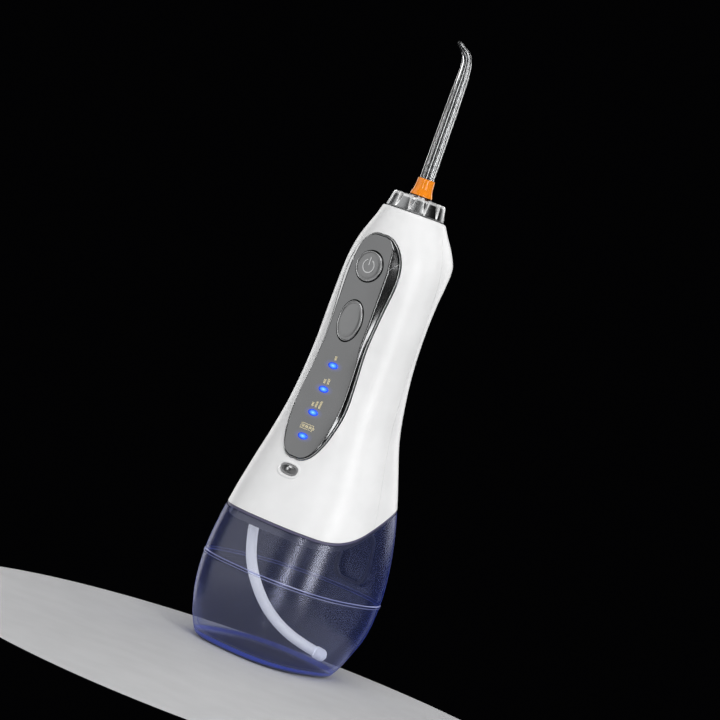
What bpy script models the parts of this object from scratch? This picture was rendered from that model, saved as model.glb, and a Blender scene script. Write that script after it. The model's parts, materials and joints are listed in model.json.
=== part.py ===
"""A cordless water flosser: a two-shell handle on a clear tank, with the pump and gear train inside it.

Lengths below are in millimetres and are turned into metres where a mesh is made. The origin is on the floor,
under the nozzle, which stands on the Z axis. The controls face -Y.
"""

import math

import bmesh
import bpy
from mathutils import Matrix, Vector

MM = 0.001
GAP = 0.3  # air kept between neighbouring pieces
FAR = 60.0  # past the body on every side, for cutters
ABOVE = 240.0  # over the top of the handle, for cutters

# Sections of the body and tank, from the nozzle's axis:
# height: (depth in front, half width, depth behind, roundness)
SECTIONS = {
    0: (28.4, 28.2, 36.6, 2.7),
    3: (30.0, 30.6, 38.0, 2.68),
    10: (32.8, 33.6, 41.8, 2.64),
    24: (34.8, 37.8, 47.8, 2.55),
    40: (35.6, 38.8, 50.4, 2.47),
    54: (34.0, 38.0, 49.6, 2.45),
    70: (30.4, 36.3, 45.9, 2.42),
    85: (27.0, 33.8, 40.7, 2.38),
    100: (24.5, 30.4, 34.8, 2.33),
    115: (22.5, 27.4, 28.0, 2.29),
    130: (20.5, 25.9, 23.1, 2.25),
    148: (19.4, 25.0, 19.2, 2.2),
    166: (19.2, 24.9, 18.0, 2.18),
    181: (19.2, 24.5, 21.3, 2.15),
    190: (18.9, 24.0, 25.4, 2.12),
    199: (18.1, 22.2, 29.4, 2.08),
    206: (17.2, 19.4, 26.4, 2.05),
    212: (16.2, 16.8, 20.8, 2.0),
    217: (15.2, 15.2, 15.2, 2.0),
}
HEIGHTS = list(SECTIONS)
SIDES = 32
WALL = 2.0
HANDLE_TOP = 217.0
SEAM_Y = 3.0  # where the front and rear shells meet

# The handle meets the tank on an S-shaped line, low in front and high behind.
PART_FRONT = 63.0
PART_RISE = 22.0
PART_START_Y = -26.0
PART_LENGTH = 56.0
GASKET = 1.1

TANK_SEAM = 38.5
TANK_FLOOR = 3.0
DECK_INSET = 2.4
DECK_SKIRT = 5.0
DECK_SCREW_HEAD = 75.2

# Control panel: height: half width of its hourglass outline.
PANEL_WIDTHS = {
    93.3: 3.0,
    94.8: 6.5,
    98.0: 9.4,
    104.0: 12.0,
    113.0: 13.9,
    122.0: 14.5,
    136.0: 13.4,
    151.0: 12.5,
    167.0: 13.6,
    183.0: 15.0,
    192.0: 13.9,
    198.0: 11.0,
    202.0: 6.9,
    203.4: 3.0,
}
PANEL_PROUD = 0.9
PANEL_THICK = 1.7
PANEL_FLAT = 7.7  # half width of the flat middle that carries the buttons
PANEL_EDGE = 1.2  # from the outline to the panel, with the bezel between them
BEZEL_R = 0.4

POWER_Z = 187.5
POWER_R = 7.3
MODE_Z = 161.0
MODE_HALF_WIDTH = 6.6
MODE_HALF_HEIGHT = 9.8
BUTTON_FRONT = -20.4
BUTTON_BACK = -17.8
LAMP_HEIGHTS = (139.0, 127.4, 115.8, 104.2)
LAMP_HALF_WIDTH = 2.8
LAMP_HALF_HEIGHT = 1.4
PORT_Z = 87.7
PORT_HALF_WIDTH = 5.3
PORT_HALF_HEIGHT = 2.7
PORT_ROUNDNESS = 2.6  # 2 is an ellipse, and more is squarer

# Circuit board
BOARD_FRONT = -13.4
BOARD_THICK = 1.6
BOARD_HALF_WIDTH = 12.0
BOARD_LOW = 95.0
BOARD_HIGH = 196.0
SWITCH_FRONT = -16.7
LED_DEPTH = 1.9

# Drive: the motor stands upright and its pinion turns a crown gear with a crank pin.
DRIVE_X = 9.8
MOTOR_Y = 6.0
MOTOR_R = 10.0
SHAFT_R = 1.0
SHAFT_TOP = 126.0
CELL_X = -10.5
CELL_R = 9.2
TRAY_LOW = 88.0
TRAY_TOP = 90.7
POST_HALF_DEPTH = 2.2
POST_INNER = 20.8
POST_OUTER = 21.8
POST_TOP = 146.6
SCREW_X = 18.0
SCREW_Y = 8.0
SCREW_R = 1.4
DRIVE_LOW = 91.0
MOTOR_HIGH = 118.0
CELL_HIGH = 141.0
PINION_TEETH = 8
PINION_R = 2.6
PINION_LOW = 121.0
PINION_HIGH = 125.6
BRACKET_LOW = 118.4
BRACKET_HIGH = 120.4
CROWN_TEETH = 20
CROWN_R = 9.5
CROWN_Z = 130.5
CROWN_FRONT = -0.5
CROWN_BACK = 3.1
AXLE_R = 1.5
CRANK = 3.0  # crank radius, so the stroke is 6 mm
CRANK_PIN_R = 1.5
ROD_Y = -2.6
ROD_THICK = 3.0
ROD_LENGTH = 24.0
PISTON_R = 6.4
BORE_R = 6.7
CYLINDER_R = 8.2
CYLINDER_LOW = 147.2
CYLINDER_HIGH = 171.0
HEAD_LOW = 171.4
HEAD_HIGH = 179.0
VALVE_OFFSET = 3.0
PIPE_R = 1.7

# Neck
SOCKET_LOW = 189.5
SOCKET_HIGH = 203.0
SOCKET_R = 7.0
SOCKET_BORE = 3.4
SHANK_R = 3.0
SLEEVE_R = 8.6
SLEEVE_LOW = 206.3
DIAL_LOW = 217.4
DIAL_RIBS = 12
HUB_TOP = 225.4
DIAL_BORE = 3.6
RING_LOW = 225.7
RING_HIGH = 234.0
LATCH_LOW = 203.6
LATCH_HIGH = 205.2
RELEASE_Z = 199.4
RELEASE_BACK = 25.4
RELEASE_HALF_WIDTH = 6.5
RELEASE_HALF_HEIGHT = 5.5
SPRING_Z = 198.6
SPRING_R = 2.4

# Filling door on the back of the tank
DOOR_LOW = 41.5
DOOR_HIGH = 68.5
DOOR_HALF_WIDTH = 10.5
DOOR_LAP = 2.0
HINGE_Y = 48.2
HINGE_Z = 72.5
HINGE_PIN_R = 0.9
KNUCKLE_R = 1.5
KNUCKLE_HALF = 7.6
EAR_START = 8.0
EAR_END = 10.2

# Suction hose
HOSE_R = 2.5
NIPPLE = (-16.0, -16.0)
HOSE_ROUTE = (
    (-16.0, -16.0, 61.0),
    (-15.3, -15.4, 53.0),
    (-13.0, -13.2, 42.0),
    (-9.0, -9.6, 32.5),
    (-3.5, -4.6, 23.8),
    (2.5, 0.9, 17.6),
    (8.5, 6.4, 13.6),
    (14.0, 11.4, 11.3),
    (18.2, 15.2, 10.0),
)
STRAINER_ROUTE = ((18.45, 15.45, 9.92), (20.5, 17.3, 9.4), (23.0, 19.5, 8.8))
STRAINER_R = 3.0

MATERIALS = {
    "white_shell": ((0.86, 0.86, 0.87), 0.25, 0.0),
    "panel_metal": ((0.32, 0.33, 0.34), 0.3, 0.8),
    "chrome": ((0.75, 0.76, 0.78), 0.12, 1.0),
    "button_grey": ((0.42, 0.43, 0.44), 0.35, 0.6),
    "lamp_blue": ((0.1, 0.45, 0.95), 0.2, 0.0),
    "tank_blue": ((0.12, 0.3, 0.7), 0.05, 0.0),
    "clear_tip": ((0.85, 0.9, 0.92), 0.03, 0.0),
    "tip_orange": ((0.95, 0.38, 0.05), 0.2, 0.0),
    "hose_white": ((0.85, 0.86, 0.88), 0.4, 0.0),
    "deck_slate": ((0.05, 0.055, 0.075), 0.5, 0.0),
    "seal_dark": ((0.03, 0.03, 0.035), 0.6, 0.0),
    "inner_grey": ((0.45, 0.46, 0.48), 0.45, 0.0),
    "steel": ((0.6, 0.6, 0.62), 0.25, 1.0),
    "board_green": ((0.03, 0.2, 0.09), 0.5, 0.0),
    "cell_wrap": ((0.12, 0.3, 0.5), 0.4, 0.0),
    "gear_cream": ((0.85, 0.82, 0.72), 0.4, 0.0),
}


# ---------------------------------------------------------------- scene, materials and object helpers


def clear_scene():
    for item in list(bpy.data.objects):
        bpy.data.objects.remove(item, do_unlink=True)


def new_collection(name):
    group = bpy.data.collections.new(name)
    bpy.context.scene.collection.children.link(group)
    return group


def material(name):
    """The named finish, made the first time it is asked for."""
    found = bpy.data.materials.get(name)
    if found:
        return found
    color, roughness, metallic = MATERIALS[name]
    made = bpy.data.materials.new(name)
    made.use_nodes = True
    shader = made.node_tree.nodes["Principled BSDF"]
    shader.inputs["Base Color"].default_value = (*color, 1.0)
    shader.inputs["Roughness"].default_value = roughness
    shader.inputs["Metallic"].default_value = metallic
    return made


def place(name, mesh_data, finish, origin=(0, 0, 0)):
    """Put a mesh, given in millimetres, into the scene in metres with its origin at a chosen point."""
    mesh_data.transform(Matrix.Translation(-Vector(origin)))
    mesh_data.transform(Matrix.Scale(MM, 4))
    item = bpy.data.objects.new(name, mesh_data)
    item.location = Vector(origin) * MM
    if finish is None:
        CUTTERS.objects.link(item)
        item.hide_render = True
        item.display_type = "WIRE"
    else:
        item.data.materials.append(material(finish))
        PARTS.objects.link(item)
    return item


def from_bmesh(name, bm, finish, origin=(0, 0, 0), smooth=False):
    """Turn a bmesh into an object, with its faces turned outwards."""
    bmesh.ops.recalc_face_normals(bm, faces=bm.faces)
    mesh_data = bpy.data.meshes.new(name)
    bm.to_mesh(mesh_data)
    bm.free()
    for face in mesh_data.polygons:
        face.use_smooth = smooth
    return place(name, mesh_data, finish, origin)


def boolean(item, other, operation):
    step = item.modifiers.new(operation.title(), "BOOLEAN")
    step.operation = operation
    step.solver = "EXACT"
    step.object = other
    return item


def cut(item, *cutters):
    for cutter in cutters:
        boolean(item, cutter, "DIFFERENCE")
    return item


def keep_inside(item, *volumes):
    for volume in volumes:
        boolean(item, volume, "INTERSECT")
    return item


def join(item, *additions):
    for addition in additions:
        boolean(item, addition, "UNION")
    return item


# ---------------------------------------------------------------- shapes


def box(name, low, high, finish=None):
    low, high = Vector(low), Vector(high)
    bm = bmesh.new()
    bmesh.ops.create_cube(bm, size=1.0)
    bmesh.ops.scale(bm, vec=high - low, verts=bm.verts)
    bmesh.ops.translate(bm, vec=(low + high) / 2, verts=bm.verts)
    return from_bmesh(name, bm, finish, (low + high) / 2)


def rod(name, radius, start, end, finish=None, sides=24):
    """A round bar from one point to another."""
    start, end = Vector(start), Vector(end)
    along = end - start
    bm = bmesh.new()
    bmesh.ops.create_cone(
        bm, cap_ends=True, segments=sides, radius1=radius, radius2=radius, depth=along.length
    )
    turn = along.to_track_quat("Z", "Y").to_matrix().to_4x4()
    bmesh.ops.transform(bm, matrix=turn, verts=bm.verts)
    bmesh.ops.translate(bm, vec=(start + end) / 2, verts=bm.verts)
    return from_bmesh(name, bm, finish, (start + end) / 2)


def turned(name, profile, finish=None, centre=(0.0, 0.0), sides=32):
    """A closed profile of (radius, height) points, turned about a vertical axis."""
    low = min(z for _, z in profile)
    ahead = profile[1:] + profile[:1]
    area = sum(r * next_z - next_r * z for (r, z), (next_r, next_z) in zip(profile, ahead))
    if area > 0:  # the Screw modifier faces outwards when the outer side runs down
        profile = profile[::-1]
    bm = bmesh.new()
    corners = [bm.verts.new((r, 0, z)) for r, z in profile]
    for k, corner in enumerate(corners):
        bm.edges.new((corner, corners[(k + 1) % len(corners)]))
    mesh_data = bpy.data.meshes.new(name)
    bm.to_mesh(mesh_data)
    bm.free()
    mesh_data.transform(Matrix.Translation((*centre, 0)))
    item = place(name, mesh_data, finish, (*centre, low))
    spin = item.modifiers.new("Turn", "SCREW")
    spin.axis = "Z"
    spin.steps = sides
    spin.render_steps = sides
    spin.use_merge_vertices = True
    spin.merge_threshold = 0.00001
    spin.use_smooth_shade = False
    return item


def prism(name, outline, axis, start, end, finish=None, origin=(0, 0, 0)):
    """A flat outline pushed along X or Y. Its points are (y, z) for X and (x, z) for Y."""
    bm = bmesh.new()
    if axis == "X":
        corners = [bm.verts.new((start, u, v)) for u, v in outline]
        push = Vector((end - start, 0, 0))
    else:
        corners = [bm.verts.new((u, start, v)) for u, v in outline]
        push = Vector((0, end - start, 0))
    face = bm.faces.new(corners)
    made = bmesh.ops.extrude_face_region(bm, geom=[face])
    moved = [g for g in made["geom"] if isinstance(g, bmesh.types.BMVert)]
    bmesh.ops.translate(bm, vec=push, verts=moved)
    return from_bmesh(name, bm, finish, origin)


def loft(name, rings, finish=None, looped=False, origin=(0, 0, 0), smooth=True):
    """A skin through rings of equal count: closed into a loop, or capped at both ends."""
    bm = bmesh.new()
    rows = [[bm.verts.new(p) for p in ring] for ring in rings]
    pairs = list(zip(rows, rows[1:]))
    if looped:
        pairs.append((rows[-1], rows[0]))
    for a, b in pairs:
        for k in range(len(a)):
            n = (k + 1) % len(a)
            bm.faces.new((a[k], a[n], b[n], b[k]))
    if not looped:
        bm.faces.new(rows[0])
        bm.faces.new(rows[-1])
    return from_bmesh(name, bm, finish, origin, smooth)


def tube(name, route, radius, finish, resolution=2, cyclic=False):
    """A round tube along a route of points in millimetres, with filled ends."""
    data = bpy.data.curves.new(name, "CURVE")
    data.dimensions = "3D"
    data.bevel_depth = radius * MM
    data.bevel_resolution = resolution
    data.use_fill_caps = not cyclic
    line = data.splines.new("POLY")
    line.points.add(len(route) - 1)
    start = Vector(route[0])
    for point, place_at in zip(line.points, route):
        point.co = (*((Vector(place_at) - start) * MM), 1.0)
    line.use_cyclic_u = cyclic
    item = bpy.data.objects.new(name, data)
    item.location = start * MM
    item.data.materials.append(material(finish))
    PARTS.objects.link(item)
    return item


def smooth_route(points, steps):
    """Points on a smooth curve through a few route points."""
    points = [Vector(p) for p in points]
    ends = [points[0] * 2 - points[1]] + points + [points[-1] * 2 - points[-2]]
    out = []
    for a, b, c, d in zip(ends, ends[1:], ends[2:], ends[3:]):
        for k in range(steps):
            t = k / steps
            out.append(
                0.5 * (2 * b + (c - a) * t + (2 * a - 5 * b + 4 * c - d) * t * t
                       + (3 * b - a - 3 * c + d) * t ** 3)
            )
    return out + [points[-1]]


# ---------------------------------------------------------------- the body's own surfaces


def interpolate(table, at):
    """A smooth value between a table's stations, for a number or for each number of a tuple."""
    keys = list(table)
    at = min(max(at, keys[0]), keys[-1])
    i = max(k for k in range(len(keys) - 1) if keys[k] <= at)

    def slope(k, part):
        a, b = max(k - 1, 0), min(k + 1, len(keys) - 1)
        return (part(table[keys[b]]) - part(table[keys[a]])) / (keys[b] - keys[a])

    def value(part):
        span = keys[i + 1] - keys[i]
        t = (at - keys[i]) / span
        p0, p1 = part(table[keys[i]]), part(table[keys[i + 1]])
        m0, m1 = slope(i, part) * span, slope(i + 1, part) * span
        return (
            (2 * t**3 - 3 * t**2 + 1) * p0 + (t**3 - 2 * t**2 + t) * m0
            + (3 * t**2 - 2 * t**3) * p1 + (t**3 - t**2) * m1
        )

    first = table[keys[0]]
    if isinstance(first, tuple):
        return tuple(value(lambda row, n=n: row[n]) for n in range(len(first)))
    return value(lambda number: number)


def outline_at(z, inset=0.0, height=None, sides=SIDES):
    """The body's outline at height z, moved in by inset, drawn at another height if one is given."""
    front, half, rear, power = interpolate(SECTIONS, z)
    points = []
    for k in range(sides):
        c, s = math.cos(math.tau * k / sides), math.sin(math.tau * k / sides)
        a, b = half - inset, (rear if s > 0 else front) - inset
        reach = (abs(c / a) ** power + abs(s / b) ** power) ** (-1 / power)
        points.append((reach * c, reach * s, z if height is None else height))
    return points


def circle_at(radius, z, sides=SIDES):
    return [
        (radius * math.cos(math.tau * k / sides), radius * math.sin(math.tau * k / sides), z)
        for k in range(sides)
    ]


def front_y(x, z, inset=0.0):
    """The Y of the body's front surface."""
    front, half, _, power = interpolate(SECTIONS, z)
    return -(front - inset) * (1 - abs(x / (half - inset)) ** power) ** (1 / power)


def heights_between(low, high):
    return [low] + [z for z in HEIGHTS if low + 1.5 < z < high - 1.5] + [high]


def solid_body(name, low, high, inset, finish=None):
    rings = [outline_at(z, inset) for z in heights_between(low, high)]
    return loft(name, rings, finish)


def wall_body(name, low, high, outer, inner, finish=None):
    """A standing wall between two insets of the body's outline."""
    levels = heights_between(low, high)
    rings = [outline_at(z, outer) for z in levels]
    rings += [outline_at(z, inner) for z in reversed(levels)]
    return loft(name, rings, finish, looped=True)


def parting_z(y):
    """The height of the line between handle and tank."""
    t = min(max((y - PART_START_Y) / PART_LENGTH, 0.0), 1.0)
    return PART_FRONT + PART_RISE * t * t * (3 - 2 * t)


def parting_line(offset):
    steps = 10
    ys = [-FAR] + [PART_START_Y + PART_LENGTH * k / steps for k in range(steps + 1)] + [FAR]
    return [(y, parting_z(y) + offset) for y in ys]


def under_parting(name, offset):
    """Everything below the parting line, moved up or down by offset."""
    below = -10.0
    return prism(name, [(FAR, below), (-FAR, below)] + parting_line(offset), "X", -FAR, FAR)


def over_parting(name, offset):
    return prism(name, parting_line(offset) + [(FAR, ABOVE), (-FAR, ABOVE)], "X", -FAR, FAR)


def parting_slab(name, low, high):
    return prism(name, parting_line(low) + parting_line(high)[::-1], "X", -FAR, FAR)


def panel_side(grow):
    """The right-hand half of the panel's outline as (x, z) points, moved outwards by grow."""
    levels = list(PANEL_WIDTHS)
    half = [Vector((PANEL_WIDTHS[z], z)) for z in levels]
    around = [Vector((-half[0].x, half[0].y))] + half + [Vector((-half[-1].x, half[-1].y))]
    moved = []
    for before, here, after in zip(around, half, around[2:]):
        along = (here - before).normalized() + (after - here).normalized()
        along.normalize()
        moved.append((here.x + grow * along.y, here.y - grow * along.x))
    return moved


def panel_outline(grow):
    right = panel_side(grow)
    return right + [(-x, z) for x, z in reversed(right)]


def oval(half_width, half_height, z, roundness=2.0, sides=16):
    """An oval as (x, z) points. A roundness of 2 makes an ellipse, and more makes it squarer."""
    points = []
    for k in range(sides):
        c, s = math.cos(math.tau * k / sides), math.sin(math.tau * k / sides)
        reach = (abs(c) ** roundness + abs(s) ** roundness) ** (-1 / roundness)
        points.append((half_width * reach * c, z + half_height * reach * s))
    return points


def oval_bar(name, half_width, half_height, z, start, end, finish=None, roundness=2.0):
    """An oval bar lying along Y."""
    centre = (0, (start + end) / 2, z)
    return prism(name, oval(half_width, half_height, z, roundness), "Y", start, end, finish, centre)


# ---------------------------------------------------------------- handle shells and panel


def handle_wall(name, finish):
    """The closed wall of the whole handle, with the round hole in its top."""
    low = PART_FRONT - 4
    levels = heights_between(low, HANDLE_TOP)
    hole = SLEEVE_R + 0.6
    roof = HANDLE_TOP - WALL - 0.5
    rings = [outline_at(z) for z in levels]
    rings += [circle_at(hole, HANDLE_TOP), circle_at(hole, roof)]
    rings += [outline_at(z, WALL) for z in reversed(heights_between(low, roof))]
    return loft(name, rings, finish, looped=True)


def make_shells():
    under = under_parting("cut_under_handle", 0.0)
    window = prism("cut_panel_window", panel_outline(0.25), "Y", -FAR, -6)
    port = oval_bar(
        "cut_port", PORT_HALF_WIDTH, PORT_HALF_HEIGHT, PORT_Z, -FAR, -15, roundness=PORT_ROUNDNESS
    )
    slack = 0.4
    release = oval_bar(
        "cut_release", RELEASE_HALF_WIDTH + slack, RELEASE_HALF_HEIGHT + slack, RELEASE_Z, 15, FAR
    )
    behind = box("cut_behind_seam", (-FAR, SEAM_Y - GAP / 2, 0), (FAR, FAR, ABOVE))
    ahead = box("cut_ahead_of_seam", (-FAR, -FAR, 0), (FAR, SEAM_Y + GAP / 2, ABOVE))
    cut(handle_wall("front_shell", "white_shell"), under, behind, window, port)
    cut(handle_wall("rear_shell", "white_shell"), under, ahead, release)


def panel_section(half_width, z):
    """One level of the panel: flat in the middle, falling to the edges, the same thickness throughout."""
    middle = front_y(0, z) - PANEL_PROUD
    flat = min(PANEL_FLAT, half_width * 0.8)
    edge = front_y(half_width, z) - 0.4
    profile = [(-half_width, edge), (-flat, middle), (flat, middle), (half_width, edge)]
    back = [(x, y + PANEL_THICK) for x, y in reversed(profile)]
    return [(x, y, z) for x, y in profile + back]


def make_panel():
    rings = [panel_section(half_width, z) for half_width, z in panel_side(-PANEL_EDGE)]
    panel = loft("control_panel", rings, "panel_metal", smooth=False)
    holes = [(POWER_R, POWER_R, POWER_Z), (MODE_HALF_WIDTH, MODE_HALF_HEIGHT, MODE_Z)]
    holes += [(LAMP_HALF_WIDTH, LAMP_HALF_HEIGHT, z) for z in LAMP_HEIGHTS]
    for half_width, half_height, z in holes:
        cut(panel, oval_bar(f"cut_panel_{z:.0f}", half_width + GAP, half_height + GAP, z, -30, -10))
    route = [(x, front_y(x, z) - 0.1, z) for x, z in panel_outline(-BEZEL_R - 0.05)]
    tube("panel_bezel", route, BEZEL_R, "chrome", resolution=1, cyclic=True)


def make_buttons_and_lamps():
    for name, half_width, half_height, z in (
        ("power_button", POWER_R, POWER_R, POWER_Z),
        ("mode_button", MODE_HALF_WIDTH, MODE_HALF_HEIGHT, MODE_Z),
    ):
        oval_bar(name, half_width, half_height, z, BUTTON_FRONT, BUTTON_BACK, "button_grey")
    for k, z in enumerate(LAMP_HEIGHTS, 1):
        face = front_y(0, z) - PANEL_PROUD - 0.35
        led_front = BOARD_FRONT - LED_DEPTH
        oval_bar(f"lamp_lens_{k}", LAMP_HALF_WIDTH, LAMP_HALF_HEIGHT, z, face, led_front - GAP, "lamp_blue")
        box(f"led_{k}", (-1.6, led_front, z - 1.0), (1.6, BOARD_FRONT - GAP, z + 1.0), "gear_cream")


def make_board():
    low = (-BOARD_HALF_WIDTH, BOARD_FRONT, BOARD_LOW)
    box("circuit_board", low, (BOARD_HALF_WIDTH, BOARD_FRONT + BOARD_THICK, BOARD_HIGH), "board_green")
    for name, z in (("power_switch", POWER_Z), ("mode_switch", MODE_Z)):
        box(name, (-3, SWITCH_FRONT, z - 3), (3, BOARD_FRONT - GAP, z + 3), "inner_grey")


def make_port():
    """An oval cup set into the front, with a contact pin standing in it."""
    shell_y = front_y(0, PORT_Z)
    half_width, half_height, wall = PORT_HALF_WIDTH - GAP, PORT_HALF_HEIGHT - GAP, 0.7
    front, floor, back = shell_y + 0.5, shell_y + 6.0, shell_y + 8.0
    cup = oval_bar(
        "charge_port", half_width, half_height, PORT_Z, front, back, "inner_grey", PORT_ROUNDNESS
    )
    half_width, half_height = half_width - wall, half_height - wall
    ahead = front - 2
    cut(cup, oval_bar("cut_cup", half_width, half_height, PORT_Z, ahead, floor, roundness=PORT_ROUNDNESS))
    rod("charge_pin", 0.7, (-1.8, floor - GAP, PORT_Z), (-1.8, shell_y + 2.0, PORT_Z), "steel", sides=12)


# ---------------------------------------------------------------- drive and pump


def make_chassis():
    """A tray over the deck, with two posts and a cross plate that carries the pump."""
    tray = solid_body("chassis", TRAY_LOW, TRAY_TOP, 2.6, "inner_grey")
    keep_inside(tray, box("keep_tray", (-25, -8, 80), (25, 19, 100)))
    depth = POST_HALF_DEPTH
    for side in (-1, 1):
        inner, outer = sorted((side * POST_INNER, side * POST_OUTER))
        x, y = side * SCREW_X, SCREW_Y
        join(tray, box(f"add_post_{side}", (inner, -depth, TRAY_LOW + 1), (outer, depth, POST_TOP)))
        join(tray, rod(f"add_boss_{side}", 3.2, (x, y, 81.8), (x, y, TRAY_LOW + 1), sides=16))
    join(tray, box("add_cross_plate", (-POST_OUTER, -depth, 144.2), (POST_OUTER, depth, POST_TOP)))
    join(tray, box("add_pump_seat", (1.3, -10.9, 144.4), (18.3, 6.0, 146.4)))
    cut(tray, rod("cut_rod_way", 5.4, (DRIVE_X, ROD_Y, 140), (DRIVE_X, ROD_Y, 150)))
    for side, name in ((-1, "deck_screw_left"), (1, "deck_screw_right")):
        x, y = side * SCREW_X, SCREW_Y
        cut(tray, rod(f"cut_boss_{side}", SCREW_R + GAP, (x, y, 70), (x, y, 100), sides=12))
        tip, head, foot = TRAY_TOP - 0.5, DECK_SCREW_HEAD, DECK_SCREW_HEAD - 2
        profile = [(SCREW_R, tip), (SCREW_R, head), (3.0, head), (3.0, foot), (0, foot), (0, tip)]
        turned(name, profile, "steel", (x, y), sides=12)


def make_drive():
    rod("battery_cell", CELL_R, (CELL_X, MOTOR_Y, DRIVE_LOW), (CELL_X, MOTOR_Y, CELL_HIGH), "cell_wrap", 28)
    bore = SHAFT_R + GAP
    case = [
        (MOTOR_R, MOTOR_HIGH - 1), (MOTOR_R, DRIVE_LOW), (bore, DRIVE_LOW), (bore, MOTOR_HIGH),
        (MOTOR_R - 1, MOTOR_HIGH),
    ]
    turned("motor", case, "steel", (DRIVE_X, MOTOR_Y), 28)
    rod("motor_shaft", SHAFT_R, (DRIVE_X, MOTOR_Y, DRIVE_LOW), (DRIVE_X, MOTOR_Y, SHAFT_TOP), "steel", 12)
    rings = []
    for z in (PINION_LOW, PINION_HIGH):
        ring = []
        for k in range(2 * PINION_TEETH):
            radius = PINION_R if k % 2 == 0 else PINION_R * 0.72
            turn = math.pi * k / PINION_TEETH
            ring.append((DRIVE_X + radius * math.cos(turn), MOTOR_Y + radius * math.sin(turn), z))
        rings.append(ring)
    pinion = loft("pinion", rings, "steel", origin=(DRIVE_X, MOTOR_Y, PINION_LOW), smooth=False)
    low, high = (DRIVE_X, MOTOR_Y, PINION_LOW - 1), (DRIVE_X, MOTOR_Y, PINION_HIGH + 1)
    cut(pinion, rod("cut_pinion", SHAFT_R + 0.05, low, high, sides=12))


def make_bracket():
    """A plate over the motor with an upright back that holds the crown gear's axle."""
    bracket = box("gear_bracket", (0.6, -2.5, BRACKET_LOW), (19.4, 13.5, BRACKET_HIGH), "inner_grey")
    join(bracket, box("add_bracket_back", (3.0, 10.0, BRACKET_LOW + 0.6), (16.6, 12.6, 139.0)))
    below, above = (DRIVE_X, MOTOR_Y, BRACKET_LOW - 1), (DRIVE_X, MOTOR_Y, BRACKET_HIGH + 1)
    cut(bracket, rod("cut_bracket_shaft", 3.2, below, above, sides=16))
    ahead, behind = (DRIVE_X, 8, CROWN_Z), (DRIVE_X, 15, CROWN_Z)
    cut(bracket, rod("cut_bracket_axle", AXLE_R + GAP, ahead, behind, sides=16))
    rod("gear_axle", AXLE_R, (DRIVE_X, CROWN_FRONT + 0.1, CROWN_Z), (DRIVE_X, 13.2, CROWN_Z), "steel", 16)


def crown_ring(radius, y, tooth=0.0):
    """A ring of the crown gear about its Y axis. tooth lifts every other point back towards the gear."""
    count = 2 * CROWN_TEETH
    ring = []
    for k in range(count):
        turn = math.tau * k / count
        back = y - (tooth if k % 2 else 0.0)
        ring.append((DRIVE_X + radius * math.cos(turn), back, CROWN_Z + radius * math.sin(turn)))
    return ring


def make_crank():
    """The crown gear with its crank pin at the bottom, and the rod that stands on the pin."""
    bore = AXLE_R + 0.1
    rings = [
        crown_ring(bore, CROWN_FRONT),
        crown_ring(CROWN_R, CROWN_FRONT),
        crown_ring(CROWN_R, CROWN_BACK, 1.0),
        crown_ring(CROWN_R - 2.4, CROWN_BACK, 1.0),
        crown_ring(CROWN_R - 2.6, CROWN_BACK - 1.6),
        crown_ring(bore, CROWN_BACK - 1.6),
    ]
    gear = loft("crown_gear", rings, "gear_cream", looped=True, origin=(DRIVE_X, 0, CROWN_Z), smooth=False)
    pin_z = CROWN_Z - CRANK
    pin_front, pin_back = ROD_Y - ROD_THICK / 2 - 0.5, CROWN_FRONT + 0.6
    pin = rod("add_crank_pin", CRANK_PIN_R, (DRIVE_X, pin_front, pin_z), (DRIVE_X, pin_back, pin_z), sides=16)
    join(gear, pin)
    low, high = pin_z, pin_z + ROD_LENGTH
    big, small, shank = 3.4, 2.0, 1.3
    side = []
    for k in range(9):
        turn = -math.pi / 2 + math.radians(157) * k / 8
        side.append((big * math.cos(turn), low + big * math.sin(turn)))
    side.append((shank, high - 1.6))
    for k in range(5):
        turn = math.radians(-45) + math.radians(135) * k / 4
        side.append((small * math.cos(turn), high + small * math.sin(turn)))
    outline = side + [(-x, z) for x, z in reversed(side) if x > 0.01]
    outline = [(x + DRIVE_X, z) for x, z in outline]
    start, end = ROD_Y - ROD_THICK / 2, ROD_Y + ROD_THICK / 2
    link = prism("connecting_rod", outline, "Y", start, end, "gear_cream", (DRIVE_X, ROD_Y, low))
    cut(link, rod("cut_rod_eye", CRANK_PIN_R + 0.2, (DRIVE_X, -8, low), (DRIVE_X, 4, low), sides=16))


def round_section(radius, z, thick, sides=6):
    """The profile of a seal ring with a round section."""
    return [
        (radius + thick * math.cos(math.tau * k / sides), z + thick * math.sin(math.tau * k / sides))
        for k in range(sides)
    ]


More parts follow.
